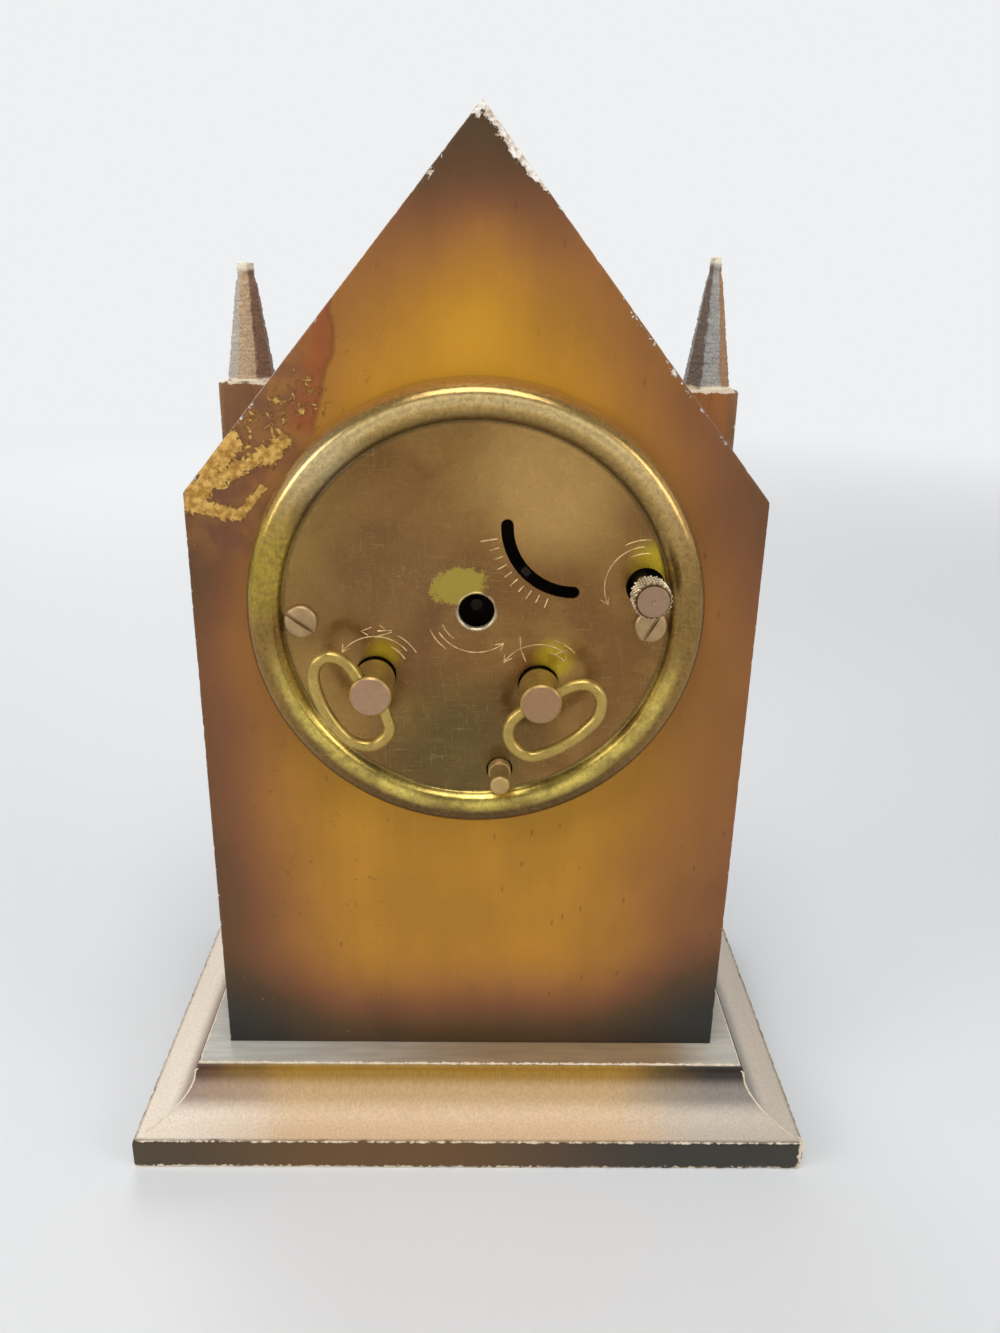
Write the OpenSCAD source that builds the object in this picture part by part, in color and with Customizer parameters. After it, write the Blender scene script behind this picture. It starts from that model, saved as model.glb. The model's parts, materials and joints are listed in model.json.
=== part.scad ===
// Small spring-driven steeple alarm clock, sizes in millimetres.
// Origin: centre of the plinth's underside. +Z is up, the dial faces -Y.
// A depth is counted from the wooden body's back face towards the dial,
// so a negative depth stands proud of the back.

/* [Plinth] */
// Width of the bottom slab
slab_w = 123.9; // [118:0.1:132]
// Depth of the bottom slab
slab_d = 74.7; // [72:0.1:82]
// Thickness of the bottom slab
slab_t = 6.3; // [5:0.1:8]
// How far the slab reaches past the platform above it
cove_run = 10.2; // [8:0.1:11]
// Height of the cove, without the straight step above it
cove_rise = 7.6; // [6:0.1:9]
// Straight step under the platform's edge
cove_step = 1.4; // [0.8:0.1:2]

/* [Case] */
// Width of the wooden body
body_w = 94; // [92:0.5:98]
// Depth of the wooden body
body_d = 32; // [32:0.5:34]
// Height of the eaves above the ground
eaves_z = 122.5; // [118:0.5:126]
// Height of the gable's point above the ground
apex_z = 179.3; // [170:0.5:186]
// Thickness of the front panel
panel_t = 5; // [4:0.5:6]
// Side of the square front pillars
pillar_w = 10.6; // [9.5:0.1:10.8]
// How far the pillars stand past the body's sides
pillar_proud = 1; // [0.8:0.1:2]
// Height of the pillars' tops above the ground
pillar_top_z = 137; // [132:0.5:142]
// Width of the eight-sided spires at the foot, across flats
spire_w = 8.45; // [7:0.05:9]
// Width of the worn spire's tip
worn_tip_w = 2.7; // [2:0.1:3]
// Height of the worn spire
worn_spire_h = 20.5; // [18:0.5:24]
// Width of the sound spire's tip
sound_tip_w = 1.8; // [1.4:0.1:2.4]
// Height of the sound spire
sound_spire_h = 23; // [20:0.5:26]
// Width of the raking moulding along the gable
rake_w = 4.5; // [3.5:0.1:6]
// Thickness of the mouldings on the front panel
moulding_t = 1.6; // [1:0.1:2.5]
// Width of the moulding round the lower tablet
tablet_border = 3.2; // [2.5:0.1:4]
// Radius of the shank of the screws through the plinth
wood_screw_r = 1.9; // [1.5:0.1:2.5]

/* [Back cap] */
// Radius of the cap's rolled rim
cap_r = 37.5; // [37:0.1:38.5]
// How far the cap's centre lies below the centre arbor
cap_drop = 1.1; // [0:0.1:1.5]
// How far the recessed plate stands proud of the wood
cap_proud = 4.5; // [4:0.1:5]
// How far the rim's crest stands proud of the wood
bead_proud = 6.5; // [6:0.1:7.5]
// Radius at which the rim runs into the plate
bead_inner_r = 31.5; // [31.4:0.1:31.8]
// Thickness of the brass sheet
sheet_t = 0.5; // [0.4:0.05:0.6]
// Radius of the centre hole
centre_hole_r = 2.85; // [2.5:0.05:3.2]
// Radius of the two key holes
key_hole_r = 3.35; // [3:0.05:3.8]
// Radius of the setting knob's hole
knob_hole_r = 3.15; // [2.8:0.05:3.5]
// Running gap round the stop pin in its hole
stop_gap = 0.3; // [0.2:0.05:0.5]
// Radius of the regulator slot's middle line
slot_r = 10.8; // [10:0.1:11.5]
// Width of the regulator slot
slot_w = 2; // [1.8:0.1:2.4]
// Radius of the cap screws' heads
screw_head_r = 2.72; // [2.3:0.02:2.9]

/* [Keys and knob] */
// Radius of the keys' barrels
barrel_r = 3.3; // [3:0.05:3.6]
// Radius of the keys' necks
neck_r = 2.6; // [2.3:0.05:2.8]
// How far the time key's end stands proud of the wood
time_key_proud = 14.4; // [13.5:0.1:15.5]
// How far the alarm key's end stands proud of the wood
alarm_key_proud = 13.7; // [13.5:0.1:15]
// Radius of the bows' wire
wire_r = 1.02; // [0.9:0.02:1.1]
// Bend radius of the bows, at the wire's middle
bow_bend_r = 3.6; // [3.2:0.1:3.8]
// Length of the straight side of the bows
bow_straight = 7.5; // [7:0.1:8.5]
// Radius of the knurled setting knob
knob_r = 3.2; // [2.8:0.05:3.4]
// How far the setting knob's end stands proud of the wood
knob_proud = 13; // [12:0.1:14]
// Radius of the stop pin
stop_r = 1.95; // [1.7:0.05:2.1]
// How far the stop pin stands proud of the wood
stop_proud = 11.3; // [10.5:0.1:12]
// How far the stop pin pushes in
stop_travel = 2.8; // [2:0.1:2.9]

/* [Movement] */
// Height of the centre arbor above the ground
centre_z = 105.1; // [104:0.1:106]
// Outer radius of the drum
drum_r = 33.3; // [33.3:0.1:33.6]
// Thickness of the movement's plates
plate_t = 1.2; // [1:0.05:1.25]
// Depth of the back plate's outer face
back_plate_depth = 3; // [3:0.1:3.2]
// Space between the plates
plate_space = 20; // [20:0.1:20.4]
// Radius of the plate pillars
post_r = 2; // [1.7:0.05:2.1]
// Radius of the train's pivots
pivot_r = 0.5; // [0.4:0.02:0.6]
// Running gap round pivots and pipes
run_gap = 0.13; // [0.12:0.01:0.16]
// Radius of the winding arbors
wind_r = 1.5; // [1.4:0.02:1.6]
// Radius of the centre arbor
centre_r = 1; // [0.9:0.02:1.05]
// Radius of the balance rim
balance_r = 6.5; // [6:0.1:7]

/* [Dial and front] */
// Radius of the bezel
bezel_r = 36.5; // [36.2:0.1:36.5]
// How far the bezel stands proud of the front panel
bezel_h = 4.6; // [4:0.1:5.5]
// Radius of the opening in the bezel
sight_r = 30.8; // [30:0.1:31.5]
// Thickness of the glass
glass_t = 1.2; // [1:0.1:1.4]
// Rise of the glass's dome
glass_rise = 3; // [2:0.1:3.5]
// Thickness of the dial
dial_t = 0.4; // [0.3:0.05:0.5]
// Length of the minute hand
minute_hand_l = 24; // [20:0.5:26]
// Length of the hour hand
hour_hand_l = 16; // [13:0.5:18]
// Length of the alarm hand
alarm_hand_l = 10; // [8:0.5:12]

/* [Hidden] */
$fn = 64;

// Colours
dark_wood = [0.40, 0.25, 0.14];
amber_wood = [0.66, 0.45, 0.14];
pale_wood = [0.62, 0.50, 0.38];
brass = [0.66, 0.56, 0.30];
dull_brass = [0.50, 0.37, 0.20];
key_metal = [0.60, 0.48, 0.38];
steel = [0.60, 0.62, 0.65];
blue_steel = [0.12, 0.13, 0.20];

// Heights and depths of the case
cut = 0.5;
base_h = slab_t + cove_rise + cove_step;
back_y = (body_d + pillar_w) / 2;
pillar_x = body_w / 2 + pillar_proud - pillar_w / 2;
panel_w = 2 * (pillar_x - pillar_w / 2);
front_depth = body_d + panel_t;
drum_wall = 0.5;
bore_gap = 0.7;
bore_r = drum_r + bore_gap;
cove_steps = 10;
bead_steps = 10;

// Plate levels, as depths
back_inner = back_plate_depth + plate_t;
front_inner = back_inner + plate_space;
front_outer = front_inner + plate_t;
plate_r = drum_r - drum_wall - 1.3;
end_shake = 0.2;
cap_inner = sheet_t - cap_proud;

// Teeth: share of the pitch for half a tooth, and heights in modules
root_share = 0.24;
tip_share = 0.1;
tooth_up = 0.7;
tooth_down = 1.05;

// Modules and tooth counts of the time train
great_m = 0.5;
great_n = 48;
inter_pinion_n = 12;
inter_n = 30;
centre_pinion_n = 15;
centre_m = 0.33;
centre_n = 60;
third_pinion_n = 8;
third_m = 0.3;
third_n = 64;
fourth_pinion_n = 8;
fourth_m = 0.28;
fourth_n = 56;
escape_pinion_n = 7;
escape_n = 15;
escape_r = 4.8;

// Modules and tooth counts of the motion work and the alarm
motion_m = 0.5;
cannon_n = 12;
minute_n = 36;
minute_pinion_n = 10;
hour_n = 40;
hour_m = motion_m * (cannon_n + minute_n) / (minute_pinion_n + hour_n);
alarm_m = 0.5;
alarm_great_n = 40;
alarm_pinion_n = 8;
star_n = 12;
star_r = 4.3;
set_pinion_n = 12;
alarm_wheel_n = 84;

// Distance at which two gears run together
function run_at(m, a, b) = m * (a + b) / 2;

// Point at a distance and an angle from another
function polar(p, r, a) = p + r * [cos(a), sin(a)];

// Direction from one point to another
function heading(p, q) = atan2(q[1] - p[1], q[0] - p[0]);

// The point at distances ra and rb from a and b, on the right hand of the way from a to b
function two_arms(a, ra, b, rb) =
    let (
        d = norm(b - a),
        along = (ra * ra - rb * rb + d * d) / (2 * d),
        off = sqrt(ra * ra - along * along),
        way = (b - a) / d
    )
    a + along * way + off * [way[1], -way[0]];

// Turn that puts a gap of gear b over the tooth of gear a
function mesh_turn(a_turn, na, nb, way) =
    let (past = (a_turn - way) % (360 / na))
    way + 180 + 180 / nb - past * na / nb;

// Arbor places in the plane of the plates, [x, z]
centre_at = [0, centre_z];
time_key_at = centre_at + [16.45, -11.3];
alarm_key_at = centre_at + [-10.41, -12.53];
set_at = centre_at + [-27.09, 4.42];
stop_at = centre_at + [-4.24, -28.22];
balance_at = centre_at + [-15.5, 14.1];
cap_screw_at = centre_at + [28.33, -2.1];
cap_at = centre_at - [0, cap_drop];
inter_at = two_arms(
    centre_at, run_at(great_m, inter_n, centre_pinion_n),
    time_key_at, run_at(great_m, great_n, inter_pinion_n)
);
third_at = polar(centre_at, run_at(centre_m, centre_n, third_pinion_n), 50);
fourth_at = polar(third_at, run_at(third_m, third_n, fourth_pinion_n), 111);
escape_at = polar(fourth_at, run_at(fourth_m, fourth_n, escape_pinion_n), 206);
pallet_reach = 5.8;
fork_reach = 8.6;
pallet_at = two_arms(balance_at, fork_reach, escape_at, pallet_reach);
minute_at = polar(centre_at, run_at(motion_m, cannon_n, minute_n), -90);
star_at = polar(alarm_key_at, run_at(alarm_m, alarm_great_n, alarm_pinion_n), 170);
hammer_reach = 6.2;
hammer_at = polar(star_at, hammer_reach, -99);
set_m = 2 * norm(set_at - centre_at) / (set_pinion_n + alarm_wheel_n);
low_post_at = polar(alarm_key_at, 13.3, -80);
top_post_at = centre_at + [16, 22.4];
side_posts = [cap_screw_at, [-cap_screw_at[0], cap_screw_at[1]]];
posts = concat(side_posts, [top_post_at, low_post_at]);

// Turn of each gear about its arbor, so that every pair is in mesh
inter_turn = mesh_turn(0, great_n, inter_pinion_n, heading(time_key_at, inter_at));
centre_turn = mesh_turn(inter_turn, inter_n, centre_pinion_n, heading(inter_at, centre_at));
third_turn = mesh_turn(centre_turn, centre_n, third_pinion_n, heading(centre_at, third_at));
fourth_turn = mesh_turn(third_turn, third_n, fourth_pinion_n, heading(third_at, fourth_at));
escape_turn = mesh_turn(fourth_turn, fourth_n, escape_pinion_n, heading(fourth_at, escape_at));
minute_turn = mesh_turn(0, cannon_n, minute_n, heading(centre_at, minute_at));
hour_turn = mesh_turn(minute_turn, minute_pinion_n, hour_n, heading(minute_at, centre_at));
star_turn = mesh_turn(0, alarm_great_n, alarm_pinion_n, heading(alarm_key_at, star_at));
alarm_turn = mesh_turn(0, set_pinion_n, alarm_wheel_n, heading(set_at, centre_at));

// Depths of the pieces between the plates, from the back plate's inner face
spring_at = back_inner + 1;
time_spring_w = 7;
alarm_spring_w = 6;
ratchet_t = 0.8;
time_ratchet_at = back_inner + 8.5;
great_at = back_inner + 9.8;
great_t = 1.2;
inter_pinion_at = back_inner + 9.4;
inter_wheel_at = back_inner + 12;
wheel_t = 0.8;
centre_pinion_at = back_inner + 11.5;
centre_wheel_at = back_inner + 16.2;
third_pinion_at = back_inner + 15.7;
third_wheel_at = back_inner + 5.5;
fourth_pinion_at = back_inner + 5;
fourth_wheel_at = back_inner + 8.5;
escape_pinion_at = back_inner + 8;
thin_t = 0.6;
pinion_t = 1.7;
escape_wheel_at = back_inner + 11.3;
lever_at = back_inner + 12.2;
lever_t = 0.5;
roller_at = back_inner + 13.1;
rim_at = back_inner + 3;
rim_t = 1.2;
hairspring_at = back_inner + 1.2;
alarm_ratchet_at = back_inner + 13.2;
alarm_great_at = back_inner + 14.5;
alarm_pinion_at = back_inner + 14;
star_wheel_at = back_inner + 11.4;
hammer_arm_at = back_inner + 12.4;

// Depths of the motion work, from the front plate's outer face
motion_at = front_outer + 0.6;
minute_pinion_top = motion_at + 2.7;
hour_wheel_at = motion_at + 1.5;
alarm_wheel_at = motion_at + 3.2;
pipe_wall = 0.45;
cannon_out_r = centre_r + pipe_wall;
hour_in_r = cannon_out_r + run_gap;
hour_out_r = hour_in_r + pipe_wall;
alarm_in_r = hour_out_r + run_gap;
alarm_out_r = alarm_in_r + pipe_wall;

// Depths of the dial, the hands and the glass, from the drum's front end
dial_at = body_d - 0.5;
dial_front = dial_at + dial_t;
hand_t = 0.35;
alarm_hand_at = dial_front + 0.6;
hour_hand_at = alarm_hand_at + hand_t + 0.9;
minute_hand_at = hour_hand_at + hand_t + 0.9;
glass_edge_r = drum_r - 0.2;
glass_at = front_depth + 0.9;
skirt_in_r = drum_r + 0.1;
skirt_out_r = bore_r - 0.1;
skirt_l = 10;
ring_in_r = sight_r + 0.6;

// Stands a shape at a place of the plates and a depth, with its own z axis towards the dial
module at_depth(p, depth) {
    translate([p[0], back_y - depth, p[1]])
        rotate([90, 0, 0])
            children();
}

// A bar between two points of the local drawing plane
module bar(p, q, w, t) {
    translate([p[0], p[1], 0])
        rotate([0, 0, heading(p, q)])
            translate([0, -w / 2, 0])
                cube([norm(q - p), w, t]);
}

// Points on an elliptic arc
function arc(c, rx, ry, a0, a1, n) =
    [for (i = [0:n]) let (a = a0 + (a1 - a0) * i / n) [c[0] + rx * cos(a), c[1] + ry * sin(a)]];

// A list of points without its first one
function after_first(points) = [for (i = [1:len(points) - 1]) points[i]];

// Outline of a toothed wheel with straight-sided teeth
function teeth(n, m) =
    let (
        pitch = 360 / n,
        root = m * n / 2 - tooth_down * m,
        tip = m * n / 2 + tooth_up * m
    )
    [for (i = [0:n - 1]) each [
        for (k = [[-root_share, root], [-tip_share, tip], [tip_share, tip], [root_share, root]])
            k[1] * [cos((i + k[0]) * pitch), sin((i + k[0]) * pitch)]
    ]];

module pinion(n, m, t) {
    linear_extrude(t)
        polygon(teeth(n, m));
}

// A wheel with a rim, crossed arms and a hub, as wide as its teeth need
module crossed_wheel(n, m, t, arms, hub_r) {
    rim_r = m * n / 2 - 3 * m - 0.3;
    difference() {
        pinion(n, m, t);
        difference() {
            translate([0, 0, -cut])
                cylinder(h = t + 2 * cut, r = rim_r);
            translate([0, 0, -2 * cut])
                cylinder(h = t + 4 * cut, r = hub_r);
            for (i = [0:arms - 1])
                rotate([0, 0, i * 360 / arms])
                    translate([0, -0.6, -2 * cut])
                        cube([rim_r + cut, 1.2, t + 4 * cut]);
        }
    }
}

// Saw-toothed ratchet or star
module ratchet(n, r, depth_in, t) {
    pitch = 360 / n;
    points = [for (i = [0:n - 1]) each [
        r * [cos(i * pitch), sin(i * pitch)],
        (r - depth_in) * [cos((i + 0.15) * pitch), sin((i + 0.15) * pitch)]
    ]];
    linear_extrude(t)
        polygon(points);
}

// A staff that turns between the plates on two pivots
module staff(p, r, back_end, front_end) {
    at_depth(p, back_inner + end_shake)
        cylinder(h = plate_space - 2 * end_shake, r = r);
    at_depth(p, back_end)
        cylinder(h = front_end - back_end, r = pivot_r);
}

// Spiral strip from the arbor out to its anchor
module spiral(r0, r1, turns, end_angle, t, w) {
    steps = 16 * turns;
    function at_step(i, off) =
        let (a = end_angle - (steps - i) * 360 / 16, r = r0 + (r1 - r0) * i / steps + off)
        r * [cos(a), sin(a)];
    linear_extrude(w)
        polygon(concat(
            [for (i = [0:steps]) at_step(i, t / 2)],
            [for (i = [steps:-1:0]) at_step(i, -t / 2)]
        ));
}

// Gabled outline of the case in the plane of the plates
module gable(w, t) {
    slope = (apex_z - eaves_z) / (body_w / 2);
    shoulder = apex_z - slope * w / 2;
    linear_extrude(t)
        polygon([[-w / 2, base_h], [w / 2, base_h], [w / 2, shoulder], [0, apex_z], [-w / 2, shoulder]]);
}

// Side view of the plinth, for a given full width
function plinth_side(w) = concat(
    [[-w / 2, 0], [w / 2, 0]],
    arc([w / 2, slab_t + cove_rise], cove_run - 0.6, cove_rise, 270, 180, cove_steps),
    [[w / 2 - cove_run, slab_t + cove_rise], [w / 2 - cove_run, base_h]],
    [[-w / 2 + cove_run, base_h], [-w / 2 + cove_run, slab_t + cove_rise]],
    arc([-w / 2, slab_t + cove_rise], cove_run - 0.6, cove_rise, 0, -90, cove_steps)
);

wood_screw_x = body_w / 4;
wood_screw_l = 14;
wood_screw_y = back_y - body_d / 2;
wood_head_r = 2 * wood_screw_r;
wood_head_h = 2;
wood_head_up = 1;
screw_bore_gap = 0.1;

module wood_screw_shape(grow) {
    head_low = grow > 0 ? -cut : wood_head_up;
    for (x = [-wood_screw_x, wood_screw_x])
        translate([x, wood_screw_y, 0]) {
            translate([0, 0, head_low])
                cylinder(h = wood_head_up + wood_head_h - head_low, r = wood_head_r + grow);
            translate([0, 0, wood_head_up])
                cylinder(h = base_h + wood_screw_l - wood_head_up + grow, r = wood_screw_r + grow);
        }
}

module base_plinth() {
    color(dark_wood)
        difference() {
            intersection() {
                translate([0, slab_d / 2, 0])
                    rotate([90, 0, 0])
                        linear_extrude(slab_d)
                            polygon(plinth_side(slab_w));
                translate([-slab_w / 2, 0, 0])
                    rotate([90, 0, 90])
                        linear_extrude(slab_w)
                            polygon(plinth_side(slab_d));
            }
            wood_screw_shape(screw_bore_gap);
        }
}

module base_screws() {
    color(steel)
        wood_screw_shape(0);
}

module case_block() {
    color(amber_wood)
        difference() {
            at_depth([0, 0], 0)
                gable(body_w, body_d);
            at_depth(centre_at, -cut)
                cylinder(h = body_d + 2 * cut, r = bore_r);
            wood_screw_shape(screw_bore_gap);
        }
}

module front_panel() {
    color(dark_wood)
        difference() {
            at_depth([0, 0], body_d)
                gable(panel_w, panel_t);
            at_depth(centre_at, body_d - cut)
                cylinder(h = panel_t + 2 * cut, r = bore_r);
        }
}

module pillar(side) {
    color(dark_wood)
        translate([side * pillar_x - pillar_w / 2, -back_y, base_h])
            cube([pillar_w, pillar_w, pillar_top_z - base_h]);
}

module spire(side, tip_w, h) {
    across = cos(180 / 8);
    color(pale_wood)
        translate([side * pillar_x, pillar_w / 2 - back_y, pillar_top_z])
            rotate([0, 0, 180 / 8])
                cylinder(h = h, r1 = spire_w / 2 / across, r2 = tip_w / 2 / across, $fn = 8);
}

module left_pillar() {
    pillar(-1);
}

module right_pillar() {
    pillar(1);
}

module left_spire() {
    spire(-1, sound_tip_w, sound_spire_h);
}

module right_spire() {
    spire(1, worn_tip_w, worn_spire_h);
}

// Two raking strips that follow the gable above the pillars
module gable_moulding() {
    slope = atan2(apex_z - eaves_z, body_w / 2);
    reach = (apex_z - pillar_top_z - 1) / sin(slope);
    fall = rake_w / cos(slope);
    foot = [reach * cos(slope), apex_z - reach * sin(slope)];
    color(dark_wood)
        at_depth([0, 0], front_depth)
            linear_extrude(moulding_t)
                polygon([
                    [0, apex_z], foot, foot - [0, fall], [0, apex_z - fall],
                    [-foot[0], foot[1] - fall], [-foot[0], foot[1]]
                ]);
}

tablet_gap = 4;
tablet_w = panel_w - 2 * tablet_gap;
tablet_low = base_h + tablet_gap;
tablet_high = centre_z - bezel_r - tablet_gap;

module tablet_moulding() {
    h = tablet_high - tablet_low;
    color(dark_wood)
        difference() {
            at_depth([0, tablet_low], front_depth)
                translate([-tablet_w / 2, 0, 0])
                    cube([tablet_w, h, moulding_t]);
            at_depth([0, tablet_low + tablet_border], front_depth - cut)
                translate([tablet_border - tablet_w / 2, 0, 0])
                    cube([tablet_w - 2 * tablet_border, h - 2 * tablet_border, moulding_t + 2 * cut]);
        }
}

drum_lip_r = cap_r - sheet_t - cap_drop - 0.2;

module drum_case() {
    color(brass)
        at_depth(centre_at, 0)
            rotate_extrude()
                polygon([
                    [drum_r - drum_wall, -drum_wall], [drum_lip_r, -drum_wall], [drum_lip_r, 0],
                    [drum_r, 0], [drum_r, dial_at], [drum_r - drum_wall, dial_at]
                ]);
}

// Slot of the regulator, as an arc round the balance
slot_from = -90;
slot_to = 0;

module arc_slot(r, w, t) {
    difference() {
        cylinder(h = t, r = r + w / 2);
        translate([0, 0, -cut])
            cylinder(h = t + 2 * cut, r = r - w / 2);
        translate([-2 * r, -2 * r, -cut])
            cube([2 * r, 4 * r, t + 2 * cut]);
        translate([-cut, 0, -cut])
            cube([2 * r, 2 * r, t + 2 * cut]);
    }
    for (a = [slot_from, slot_to])
        rotate([0, 0, a])
            translate([r, 0, 0])
                cylinder(h = t, r = w / 2);
}

bead_mid_r = (cap_r + bead_inner_r) / 2;
bead_half = (cap_r - bead_inner_r) / 2;
rim_lip_h = 0.4;
screw_shank_r = 1.1;

module back_cap() {
    outer = concat(
        arc([bead_mid_r, 0], bead_half, bead_proud, 0, -90, bead_steps),
        after_first(arc([bead_mid_r, -cap_proud], bead_half, bead_proud - cap_proud, -90, -180, bead_steps))
    );
    inner = concat(
        arc([bead_mid_r, cap_inner], bead_half - sheet_t, bead_proud - cap_proud, -180, -90, bead_steps),
        after_first(arc([bead_mid_r, 0], bead_half - sheet_t, bead_proud - sheet_t, -90, 0, bead_steps))
    );
    color(dull_brass)
        difference() {
            union() {
                at_depth(cap_at, 0)
                    rotate_extrude()
                        polygon(concat(outer, [[0, -cap_proud], [0, cap_inner]], inner));
                at_depth(centre_at, -cap_proud - rim_lip_h)
                    cylinder(h = rim_lip_h + sheet_t, r = centre_hole_r + sheet_t);
            }
            at_depth(centre_at, -cap_proud - 2 * cut)
                cylinder(h = sheet_t + 4 * cut, r = centre_hole_r);
            for (p = [time_key_at, alarm_key_at])
                at_depth(p, -cap_proud - cut)
                    cylinder(h = sheet_t + 2 * cut, r = key_hole_r);
            at_depth(set_at, -cap_proud - cut)
                cylinder(h = sheet_t + 2 * cut, r = knob_hole_r);
            at_depth(stop_at, -cap_proud - cut)
                cylinder(h = sheet_t + 2 * cut, r = stop_r + stop_gap);
            for (p = side_posts)
                at_depth(p, -cap_proud - cut)
                    cylinder(h = sheet_t + 2 * cut, r = screw_shank_r + 0.1);
            at_depth(balance_at, -cap_proud - cut)
                arc_slot(slot_r, slot_w, sheet_t + 2 * cut);
        }
}

cap_screw_l = 4;
head_h = 1.3;

module cap_screws() {
    slot_turn = [35, 120];
    color(key_metal)
        for (i = [0:1])
            difference() {
                union() {
                    at_depth(side_posts[i], -cap_proud - head_h / 2)
                        cylinder(h = head_h / 2, r = screw_head_r);
                    at_depth(side_posts[i], -cap_proud - head_h)
                        cylinder(h = head_h / 2, r1 = screw_head_r - 0.6, r2 = screw_head_r);
                    at_depth(side_posts[i], -cap_proud)
                        cylinder(h = cap_screw_l, r = screw_shank_r);
                }
                at_depth(side_posts[i], -cap_proud - head_h - cut)
                    rotate([0, 0, slot_turn[i]])
                        translate([-screw_head_r - cut, -0.3, 0])
                            cube([2 * screw_head_r + 2 * cut, 0.6, head_h * 0.6 + cut]);
            }
}

module front_bezel() {
    lip = glass_at + glass_t;
    lip_t = 0.4;
    half = (bezel_r - sight_r) / 2;
    foot_h = 1;
    color(brass)
        at_depth(centre_at, 0)
            rotate_extrude()
                polygon(concat(
                    [
                        [skirt_in_r, front_depth - skirt_l], [skirt_out_r, front_depth - skirt_l],
                        [skirt_out_r, front_depth], [bezel_r, front_depth]
                    ],
                    arc([sight_r + half, front_depth + foot_h], half, bezel_h - foot_h, 0, 90, bead_steps),
                    after_first(arc(
                        [sight_r + half, lip + lip_t], half, front_depth + bezel_h - lip - lip_t,
                        90, 180, bead_steps
                    )),
                    [[sight_r, lip], [skirt_in_r, lip]]
                ));
}

module glass() {
    dome_r = sight_r - 0.3;
    outer_r = (dome_r * dome_r + glass_rise * glass_rise) / (2 * glass_rise);
    color([0.85, 0.92, 0.95, 0.35])
        at_depth(centre_at, 0)
            rotate_extrude()
                polygon(concat(
                    [[0, glass_at + glass_rise], [0, glass_at + glass_rise + glass_t]],
                    [for (i = [1:9]) let (r = dome_r * i / 10)
                        [r, glass_at + glass_t + glass_rise - outer_r + sqrt(outer_r * outer_r - r * r)]],
                    [[dome_r, glass_at + glass_t], [glass_edge_r, glass_at + glass_t]],
                    [[glass_edge_r, glass_at], [dome_r - glass_t, glass_at]],
                    [for (i = [8:-1:1]) let (r = (dome_r - glass_t) * i / 10)
                        [r, glass_at + glass_rise - outer_r + sqrt(outer_r * outer_r - r * r)]]
                ));
}

module dial() {
    color([0.93, 0.90, 0.80])
        difference() {
            at_depth(centre_at, dial_at)
                cylinder(h = dial_t, r = glass_edge_r);
            at_depth(centre_at, dial_at - cut)
                cylinder(h = dial_t + 2 * cut, r = alarm_out_r + 2 * run_gap);
        }
}

module dial_ring() {
    color(brass)
        at_depth(centre_at, 0)
            rotate_extrude()
                polygon([
                    [glass_edge_r - 0.6, dial_front], [glass_edge_r, dial_front], [glass_edge_r, glass_at],
                    [ring_in_r, glass_at], [ring_in_r, glass_at - 0.5]
                ]);
}

// Holes of both plates, [place, radius]
stem_r = 1;
set_arbor_r = 1.1;
wind_pivot_r = wind_r - 0.3;
bush_r = 1.6;
shared_holes = [
    [centre_at, centre_r + run_gap],
    [time_key_at, wind_pivot_r + run_gap],
    [alarm_key_at, wind_pivot_r + run_gap],
    [set_at, set_arbor_r + run_gap],
    [inter_at, pivot_r + run_gap],
    [third_at, pivot_r + run_gap],
    [fourth_at, pivot_r + run_gap],
    [escape_at, pivot_r + run_gap],
    [pallet_at, pivot_r + run_gap],
    [star_at, pivot_r + run_gap],
    [hammer_at, pivot_r + run_gap],
    [balance_at, bush_r]
];

module plate(depth, extra) {
    difference() {
        at_depth(centre_at, depth)
            cylinder(h = plate_t, r = plate_r);
        for (hole = concat(shared_holes, extra))
            at_depth(hole[0], depth - cut)
                cylinder(h = plate_t + 2 * cut, r = hole[1]);
    }
}

stud_r = 0.7;
nut_stem_r = 1;

module back_plate() {
    extra = concat([[stop_at, stem_r + run_gap]], [for (p = posts) [p, nut_stem_r]]);
    color(brass)
        plate(back_plate_depth, extra);
}

module front_plate() {
    extra = concat([[minute_at, stud_r]], [for (p = posts) [p, nut_stem_r]]);
    color(brass)
        plate(front_inner, extra);
}

// Pillars between the plates; the two side ones run on out to the cap and carry its screws
module plate_pillars() {
    color(brass) {
        for (p = posts) {
            at_depth(p, back_inner)
                cylinder(h = plate_space, r = post_r);
            at_depth(p, front_inner)
                cylinder(h = plate_t + nut_h, r = nut_stem_r);
            at_depth(p, back_plate_depth)
                cylinder(h = plate_t, r = nut_stem_r);
        }
        for (p = side_posts)
            difference() {
                at_depth(p, cap_inner)
                    cylinder(h = back_plate_depth - cap_inner, r = post_r);
                at_depth(p, cap_inner - cut)
                    cylinder(h = cap_screw_l + cut, r = screw_shank_r);
            }
        for (p = [top_post_at, low_post_at])
            at_depth(p, back_plate_depth - nut_h)
                cylinder(h = nut_h, r = post_r);
        at_depth(minute_at, front_inner)
            cylinder(h = minute_pinion_top + 0.25 - front_inner, r = stud_r);
    }
}

nut_h = 1.2;
nut_r = 2.2;

module pillar_nuts() {
    color(steel)
        for (p = posts)
            difference() {
                at_depth(p, front_outer)
                    cylinder(h = nut_h, r = nut_r, $fn = 6);
                at_depth(p, front_outer - cut)
                    cylinder(h = nut_h + 2 * cut, r = nut_stem_r);
            }
}

// Threaded bearings of the balance staff, one in each plate; the back one carries the regulator
regulator_at = 1.4;
regulator_t = 0.7;

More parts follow.
